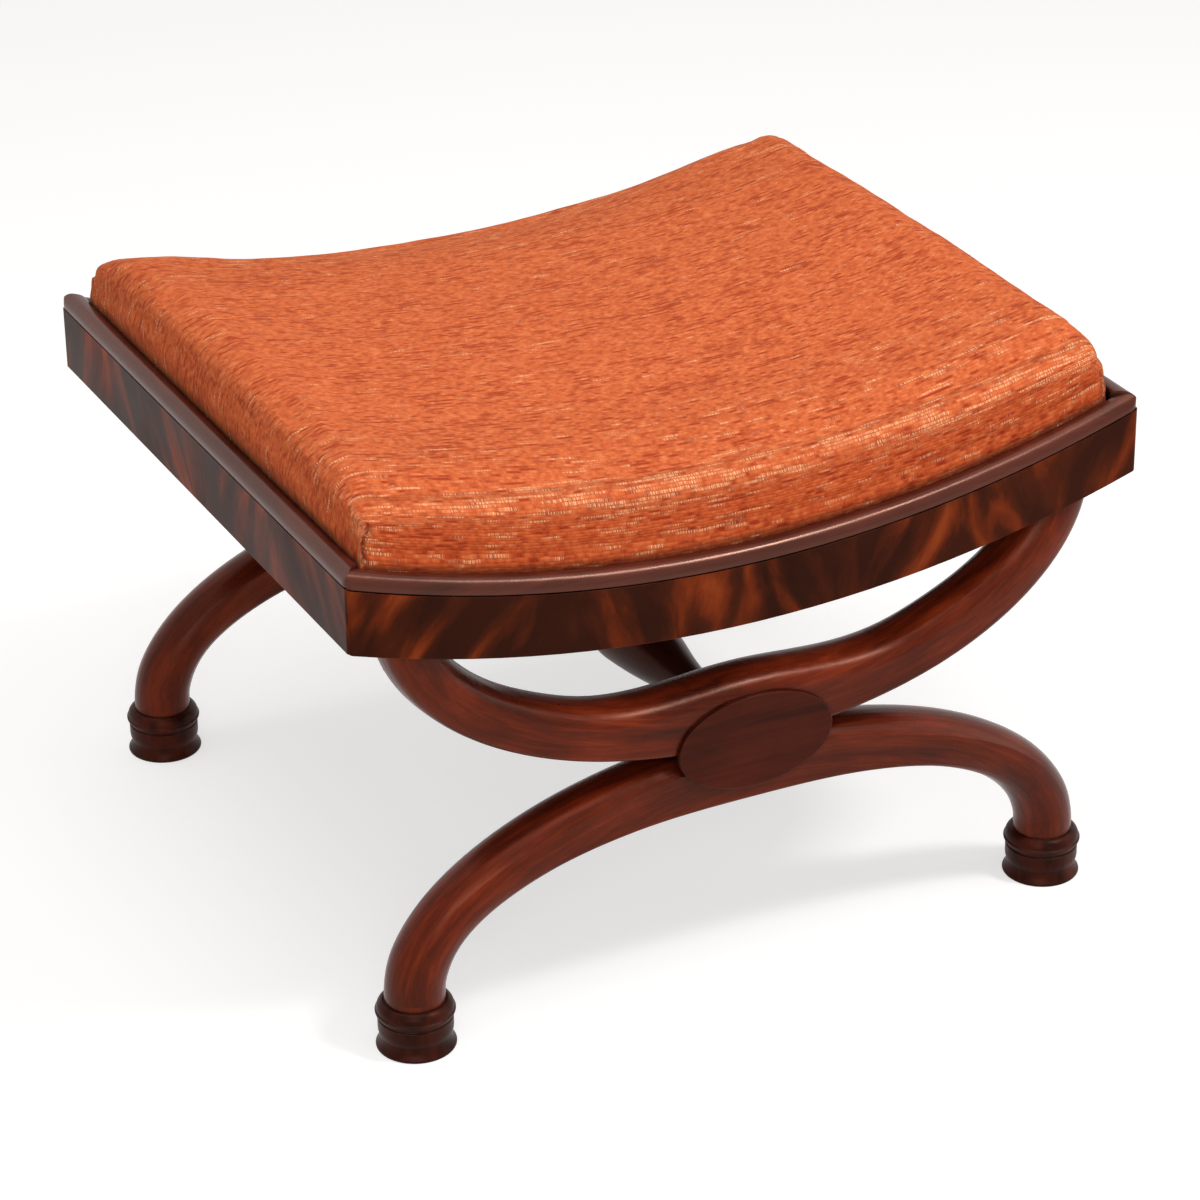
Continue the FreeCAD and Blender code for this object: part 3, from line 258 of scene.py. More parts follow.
def veneer(name, along_y, seed, dark_place):
    """Crotch veneer: broad slanted flames of orange-brown over dark brown, with quiet dark zones."""
    graph = Graph(name)
    x, y, z = graph.split(graph.place())
    run = y if along_y else x
    rise = above_rail_middle(graph, x, z, not along_y)
    way = graph.noise(graph.join(run, seed, 0.0), 7, 0)
    lean = graph.add("ShaderNodeMapRange", {0: way, 1: 0.42, 2: 0.58, 3: -0.7, 4: 0.35}).outputs[0]
    leaned = graph.sum("ADD", run, graph.sum("MULTIPLY", rise, lean))
    field = graph.join(leaned, seed, graph.sum("MULTIPLY", rise, 0.33))
    flames = graph.noise(field, 40, 2, 0.4, 0.35)
    fine = graph.noise(field, 340, 2, 0.6)
    zone = graph.ramp(graph.noise(graph.join(run, seed + 5.0, 0.0), 10, 1), (0.4, 0.0), (0.55, 1.0))
    away = graph.sum("ABSOLUTE", graph.sum("SUBTRACT", run, dark_place))
    beyond = graph.ramp(graph.sum("MULTIPLY", away, 10.0), (0.3, 0.0), (0.6, 1.0))
    zone = graph.sum("MULTIPLY", zone, beyond)
    figure = graph.sum("ADD", flames, graph.sum("MULTIPLY", graph.sum("SUBTRACT", zone, 1.0), 0.16))
    figure = graph.sum("ADD", figure, graph.sum("MULTIPLY", graph.sum("SUBTRACT", fine, 0.5), 0.12))
    colour = graph.ramp(
        figure, (0.32, (0.034, 0.0078, 0.0038)), (0.44, (0.07, 0.013, 0.0048)),
        (0.56, (0.18, 0.028, 0.007)), (0.7, (0.34, 0.06, 0.014)),
    )
    return finish_wood(graph, colour, fine, wear=(0.3, (0.3, 0.1, 0.06)), roughness=0.36, specular=0.06)


def straight_wood(name, dark, light, along_y=False, wear=None, roughness=0.33, specular=0.12):
    """Polished wood with its grain along X or along Y."""
    graph = Graph(name)
    shares = (1.0, 0.07, 1.0) if along_y else (0.07, 1.0, 1.0)
    field = graph.scaled(graph.place(), *shares)
    bands = graph.noise(field, 60, 4, 0.6, 0.4)
    pores = graph.noise(field, 420, 2, 0.6)
    tone = graph.sum("ADD", graph.sum("MULTIPLY", bands, 0.8), graph.sum("MULTIPLY", pores, 0.25))
    colour = graph.ramp(tone, (0.36, dark), (0.7, light))
    return finish_wood(graph, colour, pores, wear=wear, roughness=roughness, specular=specular)


def bent_wood(name, centre_height, spread, rise):
    """Polished mahogany of a curved member, with its grain following the curve."""
    graph = Graph(name)
    x, y, z = graph.split(graph.place())
    across = graph.sum("DIVIDE", x, spread)
    up = graph.sum("DIVIDE", graph.sum("SUBTRACT", z, centre_height), rise)
    angle = graph.sum("ARCTAN2", up, across)
    squares = graph.sum("ADD", graph.sum("POWER", across, 2.0), graph.sum("POWER", up, 2.0))
    radius = graph.sum("SQRT", squares)
    field = graph.join(graph.sum("MULTIPLY", angle, 0.016), y, graph.sum("MULTIPLY", radius, 0.17))
    bands = graph.noise(field, 85, 4, 0.62, 0.5)
    pores = graph.noise(field, 520, 3, 0.65)
    clouds = graph.noise(graph.place(), 11, 3, 0.5, 0.3)
    tone = graph.sum("ADD", graph.sum("MULTIPLY", bands, 0.55), graph.sum("MULTIPLY", pores, 0.28))
    tone = graph.sum("ADD", tone, graph.sum("MULTIPLY", clouds, 0.35))
    colour = graph.ramp(
        tone, (0.42, (0.032, 0.0042, 0.0018)), (0.58, (0.105, 0.0115, 0.003)), (0.74, (0.2, 0.026, 0.0065))
    )
    wear = (0.3, (0.35, 0.1, 0.06))
    return finish_wood(graph, colour, pores, pits=0.7, wear=wear, roughness=0.25, specular=0.24)


def foot_wood():
    """Dark turned wood, with painted shade in its grooves and pale worn rims."""
    graph = Graph("turned_foot_wood")
    bands = graph.noise(graph.scaled(graph.place(), 1.0, 1.0, 0.3), 70, 4, 0.6, 0.5)
    colour = graph.ramp(bands, (0.35, (0.014, 0.0032, 0.0022)), (0.7, (0.07, 0.012, 0.0065)))
    return finish_wood(graph, colour, bands, wear=(0.6, (0.24, 0.14, 0.11)), roughness=0.38)


def dull_wood(name, dark, light, along_y=False):
    """Planed secondary wood without polish."""
    graph = Graph(name)
    shares = (1.0, 0.06, 1.0) if along_y else (0.06, 1.0, 1.0)
    field = graph.scaled(graph.place(), *shares)
    bands = graph.noise(field, 55, 4, 0.6, 0.6)
    pores = graph.noise(field, 400, 2)
    tone = graph.sum("ADD", graph.sum("MULTIPLY", bands, 0.75), graph.sum("MULTIPLY", pores, 0.25))
    graph.surface(Base_Color=graph.ramp(tone, (0.35, dark), (0.65, light)), Roughness=0.7)
    graph.bump(pores, 0.0002, 0.6)
    return graph.material


def metal(name, colour, roughness):
    """Aged metal with darker spots."""
    graph = Graph(name)
    spots = graph.noise(graph.place(), 300, 3)
    dark = tuple(channel * 0.45 for channel in colour)
    graph.surface(Base_Color=graph.ramp(spots, (0.4, dark), (0.6, colour)), Metallic=1.0)
    gloss = graph.add("ShaderNodeMapRange", {0: spots, 3: roughness - 0.1, 4: roughness + 0.15})
    graph.surface(Roughness=gloss.outputs[0])
    graph.bump(spots, 0.0001, 0.5)
    return graph.material


def plain_weave(name, dark, light, threads):
    """Plain woven cloth laid flat, with a given number of threads to the metre."""
    graph = Graph(name)
    x, y = graph.split(graph.place())[:2]
    turns = threads * math.pi
    warp = graph.sum("SINE", graph.sum("MULTIPLY", x, turns))
    weft = graph.sum("SINE", graph.sum("MULTIPLY", y, turns))
    weave = graph.sum("MULTIPLY", warp, weft)
    ribs = graph.sum("ADD", graph.sum("ABSOLUTE", warp), graph.sum("ABSOLUTE", weft))
    slubs = graph.noise(graph.place(), 160, 3)
    tone = graph.sum("ADD", graph.sum("MULTIPLY", weave, 0.2), slubs)
    graph.surface(Base_Color=graph.ramp(tone, (0.3, dark), (0.75, light)), Roughness=0.9)
    graph.surface(Sheen_Weight=0.2, Sheen_Roughness=0.5)
    graph.bump(graph.sum("ADD", ribs, slubs), 0.0003, 0.7)
    return graph.material


def chenille():
    """Chenille: rows of short dark slubs along the weft, and pale glints where the cloth turns down, which
    are painted highlights.
    """
    graph = Graph("chenille_cloth")
    cloth = graph.add("ShaderNodeAttribute", attribute_name="weave").outputs["Vector"]
    # The third part, turn, is the strength of the painted glints.
    u, v, turn = graph.split(cloth)
    wobble = graph.sum("MULTIPLY", graph.sum("SUBTRACT", graph.noise(cloth, 75, 3, 0.6), 0.5), 0.0028)
    line = graph.sum("DIVIDE", graph.sum("ADD", v, wobble), YARN_PITCH)
    row = graph.sum("FLOOR", line)
    rib = graph.sum("SINE", graph.sum("MULTIPLY", graph.sum("FRACT", line), math.pi))
    shift = graph.add("ShaderNodeTexWhiteNoise", {"W": row}, noise_dimensions="1D").outputs[0]
    run = graph.sum("ADD", u, graph.sum("MULTIPLY", shift, 0.37))

    def along_rows(spread, layer, scale, detail=1):
        return graph.noise(graph.join(run, graph.sum("MULTIPLY", row, spread), layer), scale, detail)

    wander = graph.noise(cloth, 24, 3, 0.5)
    dashes = graph.sum("ADD", along_rows(0.37, 0.0, 62, 2), graph.sum("MULTIPLY", wander, 0.34))
    yarn_top = graph.ramp(rib, (0.15, 0.0), (0.65, 1.0))
    slub = graph.sum("MULTIPLY", graph.ramp(dashes, (0.69, 0.0), (0.82, 1.0)), yarn_top)
    fibres = graph.noise(graph.scaled(cloth, 1.0, 2.2, 1.0), 900, 2, 0.7)
    mottle = graph.sum("MULTIPLY", along_rows(0.53, 2.0, 170), 0.6)
    tone = graph.sum("ADD", mottle, graph.sum("MULTIPLY", fibres, 0.4))
    tops = graph.ramp(
        tone, (0.32, (0.39, 0.056, 0.014)), (0.5, (0.6, 0.12, 0.034)), (0.68, (0.73, 0.21, 0.075))
    )
    darks = graph.ramp(fibres, (0.3, (0.22, 0.014, 0.003)), (0.75, (0.42, 0.045, 0.01)))
    colour = graph.blend(graph.sum("MULTIPLY", slub, 0.9), tops, darks)
    # Darker in the valleys between the rows of yarn: painted shade.
    colour = graph.blend(1.0, colour, graph.ramp(rib, (0.0, 0.82), (0.6, 1.0)), "MULTIPLY")
    shadow = graph.ramp(graph.crevice(0.012), (0.3, 0.3), (0.85, 1.0))
    colour = graph.blend(1.0, colour, shadow, "MULTIPLY")
    # Darker and redder where the cloth faces sideways rather than up: painted shade.
    upward = graph.split(graph.add("ShaderNodeNewGeometry").outputs["Normal"])[2]
    painted_side_shade = graph.ramp(upward, (0.1, (1.0, 0.8, 0.66)), (0.8, (1.0, 1.0, 1.0)))
    colour = graph.blend(1.0, colour, painted_side_shade, "MULTIPLY")
    # Pale cream glints in clusters along the rows, strongest where the cloth turns down: painted
    # highlights.
    cluster = graph.sum("ADD", along_rows(0.83, 7.0, 30, 2), graph.sum("MULTIPLY", turn, 0.17))
    ticks = graph.ramp(along_rows(0.61, 5.0, 1000), (0.46, 0.0), (0.58, 1.0))
    painted_glint = graph.sum("MULTIPLY", ticks, graph.ramp(cluster, (0.635, 0.0), (0.72, 1.0)))
    painted_glint = graph.sum("MULTIPLY", painted_glint, yarn_top)
    colour = graph.blend(graph.sum("MULTIPLY", painted_glint, 0.72), colour, (0.95, 0.62, 0.34))
    graph.surface(Base_Color=colour, Roughness=0.88, Specular_IOR_Level=0.2)
    graph.surface(Sheen_Weight=0.15, Sheen_Roughness=0.4, Sheen_Tint=(1.0, 0.42, 0.18, 1.0))
    relief = graph.sum("ADD", graph.sum("MULTIPLY", rib, 0.5), graph.sum("MULTIPLY", fibres, 0.7))
    relief = graph.sum("SUBTRACT", relief, graph.sum("MULTIPLY", slub, 0.5))
    graph.bump(relief, 0.0005, 0.8)
    return graph.material


def paint(material, *names):
    """Give the named CAD nodes a material."""
    for name in names:
        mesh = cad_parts[name].data
        mesh.materials.clear()
        mesh.materials.append(material)


def paint_frame():
    """Materials of the CAD nodes that stay."""
    veneers = (
        ("front", False, 1.3, -0.16),
        ("rear", False, 4.1, 0.05),
        ("left", True, 7.7, 0.1),
        ("right", True, 2.9, -0.1),
    )
    for side, along_y, seed, dark_place in veneers:
        paint(veneer(side + "_crotch_veneer", along_y, seed, dark_place), side + "_rail_veneer")
    low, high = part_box("front_upper_support")
    wood = bent_wood("support_mahogany", SUPPORT_SPRING, high.x, SUPPORT_SPRING - low.z)
    paint(wood, "front_upper_support", "rear_upper_support")
    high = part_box("front_leg_arch")[1]
    wood = bent_wood("arch_mahogany", ARCH_SPRING, high.x, high.z - ARCH_SPRING)
    paint(wood, "front_leg_arch", "rear_leg_arch")
    oval_wear = (0.5, (0.2, 0.1, 0.08))
    oval_tones = (0.035, 0.006, 0.0035), (0.1, 0.0155, 0.0065)
    oval = straight_wood("oval_mahogany", *oval_tones, wear=oval_wear)
    paint(oval, "front_oval_boss", "rear_oval_boss")
    bar_tones = (0.025, 0.0055, 0.0035), (0.08, 0.014, 0.008)
    paint(straight_wood("stretcher_mahogany", *bar_tones, along_y=True), "stretcher")
    corners = ["front_left", "front_right", "rear_left", "rear_right"]
    paint(foot_wood(), *[corner + "_foot" for corner in corners])
    core_dark, core_light = (0.12, 0.06, 0.03), (0.3, 0.17, 0.09)
    along = dull_wood("core_wood_long", core_dark, core_light)
    paint(along, "front_rail", "rear_rail", "crossing_dowels")
    paint(dull_wood("core_wood_cross", core_dark, core_light, True), "left_rail", "right_rail")
    sawn = dull_wood("block_wood", (0.2, 0.11, 0.05), (0.4, 0.26, 0.14))
    paint(sawn, *[corner + "_corner_block" for corner in corners])
    beech_dark, beech_light = (0.33, 0.2, 0.1), (0.55, 0.38, 0.22)
    paint(dull_wood("beech_long", beech_dark, beech_light), "seat_frame_front", "seat_frame_rear")
    cross = dull_wood("beech_cross", beech_dark, beech_light, True)
    paint(cross, "seat_frame_left", "seat_frame_right", "seat_frame_dowels")
    paint(metal("aged_steel", (0.3, 0.27, 0.24), 0.45), "corner_block_screws", "arm_screws")
    paint(metal("blued_tack_steel", (0.1, 0.11, 0.14), 0.4), "webbing_tacks", "cover_tacks")


# Bead round the seat

def bead_profile():
    """Outline of the bead as shares of its width, from the outer side in, and of its height."""
    outer_steps, inner_steps = 16, 8
    outline = [(0.08, 0.0), (0.0, 0.1), (0.0, 0.22)]
    for step in range(1, outer_steps + 1):
        turn = math.pi / 2 * step / outer_steps
        outline.append((0.52 * (1 - math.cos(turn)), 0.22 + 0.78 * math.sin(turn)))
    for step in range(1, inner_steps + 1):
        turn = math.pi / 2 * step / inner_steps
        outline.append((0.6 + 0.4 * math.sin(turn), 0.7 + 0.3 * math.cos(turn)))
    outline.append((1.0, 0.0))
    return outline


def rounded_corner(x, y):
    """The point, moved in where it lies outside the rounded corners of the seat frame."""
    over_x = abs(x) - (HALF_LENGTH - BEAD_CORNER)
    over_y = abs(y) - (HALF_DEPTH - BEAD_CORNER)
    if over_x > 0 and over_y > 0 and math.hypot(over_x, over_y) > BEAD_CORNER:
        shrink = BEAD_CORNER / math.hypot(over_x, over_y)
        x = math.copysign(abs(x) - over_x * (1 - shrink), x)
        y = math.copysign(abs(y) - over_y * (1 - shrink), y)
    return x, y


def bead_moulding(side, material):
    """Rounded bead along one side of the seat frame, mitred at both ends."""
    low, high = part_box("left_bead")
    width = high.x - low.x
    lengthwise = side in ("front", "rear")
    sign = -1 if side in ("front", "left") else 1
    stations = 72
    profile = bead_profile()
    points, faces = [], []
    for index in range(stations + 1):
        along = math.sin(math.pi / 2 * (2 * index / stations - 1))
        for inward, up in profile:
            inset = inward * width
            x, y = HALF_LENGTH - inset, HALF_DEPTH - inset
            x, y = (along * x, sign * y) if lengthwise else (sign * x, along * y)
            x, y = rounded_corner(x, y)
            rise = up * BEAD_HEIGHT
            level = dish(x, rise) if lengthwise else RAIL_TOP + rise
            dent = 0.00012 * noise.noise(Vector((x, y, level)) * 70) * up
            points.append(Vector((x, y, level + dent)))
    count = len(profile)
    for index in range(stations):
        for step in range(count):
            after = (step + 1) % count
            here, there = index * count, (index + 1) * count
            faces.append((here + step, here + after, there + after, there + step))
    faces.append(tuple(range(count)))
    faces.append(tuple(stations * count + step for step in range(count))[::-1])
    if (sign > 0) == lengthwise:
        faces = [face[::-1] for face in faces]
    mesh = bpy.data.meshes.new(side + "_bead_moulding")
    mesh.from_pydata(points, [], faces)
    mesh.validate()
    mesh.shade_smooth()
    mesh.set_sharp_from_angle(angle=math.radians(40))
    mesh.materials.append(material)
    piece = add_object(mesh)
    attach(piece, "stool_frame")
    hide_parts(side + "_bead")


def bead_mouldings():
    """The four sides of the bead."""
    tones = (0.03, 0.0055, 0.0035), (0.1, 0.017, 0.01)
    finish = {"roughness": 0.24, "specular": 0.55}
    long_wood = straight_wood("bead_wood_long", *tones, **finish)
    cross_wood = straight_wood("bead_wood_cross", *tones, along_y=True, **finish)
    for side in ("front", "rear"):
        bead_moulding(side, long_wood)
    for side in ("left", "right"):
        bead_moulding(side, cross_wood)


# Stuffed seat

def seat_lines():
    """Reach, shoulder and grid lines in X and in Y: a line's place and its turn over the shoulder."""
    lines = []
    step = 0.0042
    turns = 10
    ends = COVER_REACH.x + SEAT_BULGE, END_SHOULDER
    sides = COVER_REACH.y + SEAT_BULGE / 2, SIDE_SHOULDER
    for reach, shoulder in (ends, sides):
        flat = reach - shoulder
        count = 2 * round(flat / step)
        line = [(flat * (2 * index / count - 1), 0.0) for index in range(count + 1)]
        over = [(flat, math.radians(90 * turn / turns)) for turn in range(1, turns + 1)]
        under = [(-place, turn) for place, turn in over[::-1]]
        lines.append((reach, shoulder, under + line + over))
    return lines


def corner_spread(turn_x, turn_y, power=2.0):
    """Share of each shoulder that is used, rounded in plan where both turn."""
    a, b = math.sin(turn_x), math.sin(turn_y)
    x, y = a * math.sqrt(1 - b * b / 2), b * math.sqrt(1 - a * a / 2)
    if power > 2 and x > 0 and y > 0:
        size = (x ** power + y ** power) ** (1 / power) / math.hypot(x, y)
        x, y = x / size, y / size
    return x, y


def seat_top(x, y, half_depth):
    """Height of the crowned and dished top."""
    toward_end = (x / (COVER_REACH.x + SEAT_BULGE)) ** 2
    rise = mix(CENTRE_RISE, END_RISE, toward_end)
    crown = mix(CENTRE_CROWN, END_CROWN, toward_end)
    return dish(x) + rise + crown * (1 - (y / half_depth) ** 2)


def top_point(across, along, inset):
    """Point of the seat's top for a pair of grid lines."""
    (reach_x, shoulder_x, (flat_x, turn_x)), (reach_y, shoulder_y, (flat_y, turn_y)) = across, along
    share_x, share_y = corner_spread(turn_x, turn_y)
    sign_x, sign_y = math.copysign(1, flat_x), math.copysign(1, flat_y)
    x = flat_x + sign_x * shoulder_x * share_x
    y = flat_y + sign_y * shoulder_y * share_y
    side = dish(x) + SIDE_RISE
    top = seat_top(x, y, reach_y)
    near_corner = smooth((abs(x) / reach_x - 0.8) / 0.2) * smooth((abs(y) / reach_y - 0.8) / 0.2)
    z = side + (top - side - CORNER_DROP * near_corner) * math.cos(turn_x) * math.cos(turn_y)
    shrink_x, shrink_y = 1 - inset / reach_x, 1 - inset / reach_y
    return Vector((x * shrink_x, y * shrink_y, z - inset))


def rim_loop(lines):
    """Indices of the grid's outer line, in order round the seat."""
    last_x, last_y = len(lines[0][2]) - 1, len(lines[1][2]) - 1
    loop = [(i, 0) for i in range(last_x)]
    loop += [(last_x, j) for j in range(last_y)]
    loop += [(i, last_y) for i in range(last_x, 0, -1)]
    loop += [(0, j) for j in range(last_y, 0, -1)]
    return loop


def rim_point(lines, index, reach, rise, squareness):
    """Point on a loop round the seat, at a reach in X and Y and a rise over the rail's top line."""
    (top_x, shoulder_x, across), (top_y, shoulder_y, along) = lines
    flat_x, turn_x = across[index[0]]
    flat_y, turn_y = along[index[1]]
    share_x, share_y = corner_spread(turn_x, turn_y, squareness)
    x = flat_x + math.copysign(shoulder_x * share_x, flat_x)
    y = flat_y + math.copysign(shoulder_y * share_y, flat_y)
    x, y = x * reach[0] / top_x, y * reach[1] / top_y
    return Vector((x, y, dish(x, rise)))


def seat_levels(hollow):
    """Loops below the shoulder, from the top down: reach in X and Y, rise, and squareness in plan."""
    levels = []
    for step in range(1, SIDE_STEPS + 1):
        share = step / SIDE_STEPS
        middle = math.sin(math.pi * share)
        full = math.sin(math.pi * min(1.0, 0.5 + share * 0.5)) ** 0.8
        swell = SEAT_BULGE * (full + 0.25 * middle)
        side_swell = mix(SEAT_BULGE / 2, SEAT_BULGE, middle) * full
        reach = (COVER_REACH.x + swell, COVER_REACH.y + side_swell)
        levels.append((reach, mix(SIDE_RISE, KNEE_RISE, share), 2 + 5 * share))
    recess = (COVER_REACH.x, COVER_REACH.y)
    levels += [(recess, KNEE_RISE - 0.008, 9), (recess, UNDERSIDE + 0.002, 12)]
    levels.append(((COVER_REACH.x - 0.001, COVER_REACH.y - 0.001), UNDERSIDE, 12))
    if hollow:
        gap = 0.0002
        inner = (FRAME_REACH.x + gap, FRAME_REACH.y + gap)
        fold = (FRAME_REACH.x - TURN_UNDER, FRAME_REACH.y - TURN_UNDER)
        under_frame = FRAME_BOTTOM - gap / 2
        levels += [(fold, UNDERSIDE, 30), (fold, under_frame, 30), (inner, under_frame, 30)]
        levels += [(inner, mix(FRAME_BOTTOM, PAD_BOTTOM, 0.5), 30), (inner, PAD_BOTTOM, 30)]
    return levels


def seat_mesh(name, inset=0.0, hollow=True):
    """The stuffed seat: top, sides, the edge turned under the frame, and the pad's underside."""
    lines = seat_lines()
    (reach_x, shoulder_x, across), (reach_y, shoulder_y, along) = lines
    points = []
    for line in along:
        for place in across:
            points.append(top_point((reach_x, shoulder_x, place), (reach_y, shoulder_y, line), inset))
    width = len(across)
    loop = rim_loop(lines)
    ring = [j * width + i for i, j in loop]
    faces = []
    for j in range(len(along) - 1):
        for i in range(width - 1):
            start = j * width + i
            faces.append((start, start + 1, start + width + 1, start + width))
    levels = seat_levels(hollow)
    for reach, rise, squareness in levels:
        start = len(points)
        shrunk = (reach[0] - inset, reach[1] - inset)
        points += [rim_point(lines, index, shrunk, rise, squareness) for index in loop]
        count = len(loop)
        for step in range(count):
            after = (step + 1) % count
            faces.append((ring[after], ring[step], start + step, start + after))
        ring = list(range(start, start + count))
    bottom_rise = PAD_BOTTOM if hollow else UNDERSIDE
    rim = {index: ring[step] for step, index in enumerate(loop)}
    reach = [levels[-1][0][0] - inset, levels[-1][0][1] - inset]
    for j, (flat_y, turn_y) in enumerate(along):
        for i, (flat_x, turn_x) in enumerate(across):
            if (i, j) in rim:
                continue
            rim[(i, j)] = len(points)
            share_x, share_y = corner_spread(turn_x, turn_y, 30)
            x = (flat_x + math.copysign(shoulder_x * share_x, flat_x)) * reach[0] / reach_x
            y = (flat_y + math.copysign(shoulder_y * share_y, flat_y)) * reach[1] / reach_y
            points.append(Vector((x, y, dish(x, bottom_rise))))
    for j in range(len(along) - 1):
        for i in range(width - 1):
            faces.append((rim[(i, j)], rim[(i, j + 1)], rim[(i + 1, j + 1)], rim[(i + 1, j)]))
    mesh = bpy.data.meshes.new(name)
    mesh.from_pydata(points, [], faces)
    mesh.validate()
    return mesh


def applied(piece):
    """Mesh of a piece with its modifiers applied."""
    bpy.context.view_layer.update()
    graph = bpy.context.evaluated_depsgraph_get()
    return bpy.data.meshes.new_from_object(piece.evaluated_get(graph))


def puffed_seat():
    """Cloth simulation of the stuffed seat under pressure, held in the recess, as a search tree."""
    start_inset = 0.0022
    limit = 0.006
    last_frame = 20
    source = add_object(seat_mesh("seat_swell_form", start_inset, False))
    remesh = source.modifiers.new("remesh", "REMESH")
    remesh.mode = "VOXEL"
    remesh.voxel_size = 0.0055
    mesh = applied(source)
    bpy.data.objects.remove(source)
    pad = add_object(mesh)
    rest = [vertex.co.copy() for vertex in mesh.vertices]
    held = pad.vertex_groups.new(name="held")
    for vertex in mesh.vertices:
        rise = vertex.co.z - dish(vertex.co.x)
        grip = 1 - smooth((rise - HELD_RISE) / 0.012)
        if grip > 0:
            held.add([vertex.index], grip, "REPLACE")
    cloth = pad.modifiers.new("cloth", "CLOTH")
    cloth.settings.vertex_group_mass = "held"
    cloth.settings.quality = 6
    cloth.settings.tension_stiffness = 28
    cloth.settings.compression_stiffness = 28
    cloth.settings.bending_stiffness = 2.0
    cloth.settings.use_pressure = True
    cloth.settings.uniform_pressure_force = 4.0
    cloth.settings.effector_weights.gravity = 0.0
    cloth.point_cache.frame_start = 1
    cloth.point_cache.frame_end = last_frame
    for step in range(1, last_frame + 1):
        bpy.context.scene.frame_set(step)
    settled = applied(pad)
    for vertex, origin in zip(settled.vertices, rest):
        move = vertex.co - origin
        if move.length > limit:
            vertex.co = origin + move.normalized() * limit
    bpy.context.scene.frame_set(1)
    bpy.data.objects.remove(pad)
    tree = BVHTree.FromPolygons(
        [vertex.co.copy() for vertex in settled.vertices],
        [tuple(polygon.vertices) for polygon in settled.polygons],
    )
    bpy.data.meshes.remove(settled)
    return tree


def drawn_corner(point):
    """How far the cloth is drawn in at a point by the folds at the seat's corners."""
    fold_reach, fold_depth, fold_width = 0.04, 0.0038, 0.0024
    rise = point.z - dish(point.x)
    depth = 0.0
    corner_x, corner_y = COVER_REACH.x + SEAT_BULGE, COVER_REACH.y + SEAT_BULGE
    height = smooth((rise - 0.008) / 0.01) * (1 - smooth((rise - 0.036) / 0.016))
    for sign_x, sign_y, strength in ((-1, -1, 1.0), (1, -1, 0.6), (1, 1, 0.7), (-1, 1, 0.6)):
        from_end = corner_x - sign_x * point.x
        from_side = corner_y - sign_y * point.y
        if from_end > fold_reach or from_side > fold_reach:
            continue
        offset = from_end - from_side - 0.004 - (rise - 0.02) * 0.15
        depth += strength * fold_depth * math.exp(-((offset / fold_width) ** 2)) * height
    return depth


def painted_glint_zone(point, normal):
    """How strong the painted glints (highlights) are at a point: most where the cloth turns down."""
    toward_side, toward_end = abs(normal.y), abs(normal.x)
    side = smooth((toward_side - 0.1) / 0.35) * (1 - 0.55 * smooth((toward_side - 0.8) / 0.2))
    side = max(side, 0.4 * smooth((abs(point.y) - 0.12) / 0.1))
    end = 0.2 * smooth((toward_end - 0.25) / 0.4) * (1 - 0.5 * smooth((toward_end - 0.8) / 0.2))
    return max(side, end)


def stuffed_seat():
    """Upholstered seat in place of the plain cover and pad."""
    mesh = seat_mesh("upholstered_seat")
    lines = seat_lines()
    top_count = len(lines[0][2]) * len(lines[1][2])
    rim_count = len(rim_loop(lines))
    skin_count = top_count + SIDE_STEPS * rim_count
    weave_fold = 0.052
    least_move, most_move = -0.004, 0.006
    normals = [vertex.normal.copy() for vertex in mesh.vertices]
    tree = puffed_seat()
    weave = np.zeros((len(mesh.vertices), 3), np.float32)
    for index, vertex in enumerate(mesh.vertices):
        point, normal = vertex.co.copy(), normals[index]
        rise = point.z - dish(point.x)
        drop = max(0.0, weave_fold - rise)
        side_x = smooth((abs(normal.x) - 0.35) / 0.4)
        side_y = smooth((abs(normal.y) - 0.35) / 0.4)
        u = point.x + math.copysign(drop * side_x, point.x)
        v = point.y + math.copysign(drop * side_y, point.y)
        weave[index] = (u, v, 0.0)
        if index >= skin_count:
            continue
        # Third part of the weave attribute: how strong the painted glints are here.
        weave[index][2] = painted_glint_zone(point, normal)
        freedom = smooth((rise - HELD_RISE) / 0.014)
        move = 0.0
        if tree:
            nearest = tree.find_nearest(point)[0]
            move = max(least_move, min(most_move, (nearest - point).dot(normal)))
        unevenness = 0.0009 * noise.noise(point * 17) + 0.0004 * noise.noise(point * 48)
        vertex.co = point + normal * (move * freedom + unevenness * freedom - drawn_corner(point))
    attribute = mesh.attributes.new("weave", "FLOAT_VECTOR", "POINT")
    attribute.data.foreach_set("vector", weave.ravel())
    mesh.shade_smooth()
    seat = add_object(mesh)
    mesh.materials.append(chenille())
    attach(seat, "slip_seat")
    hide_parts("seat_cover", "stuffing_pad")


# Sheets of cloth under the seat

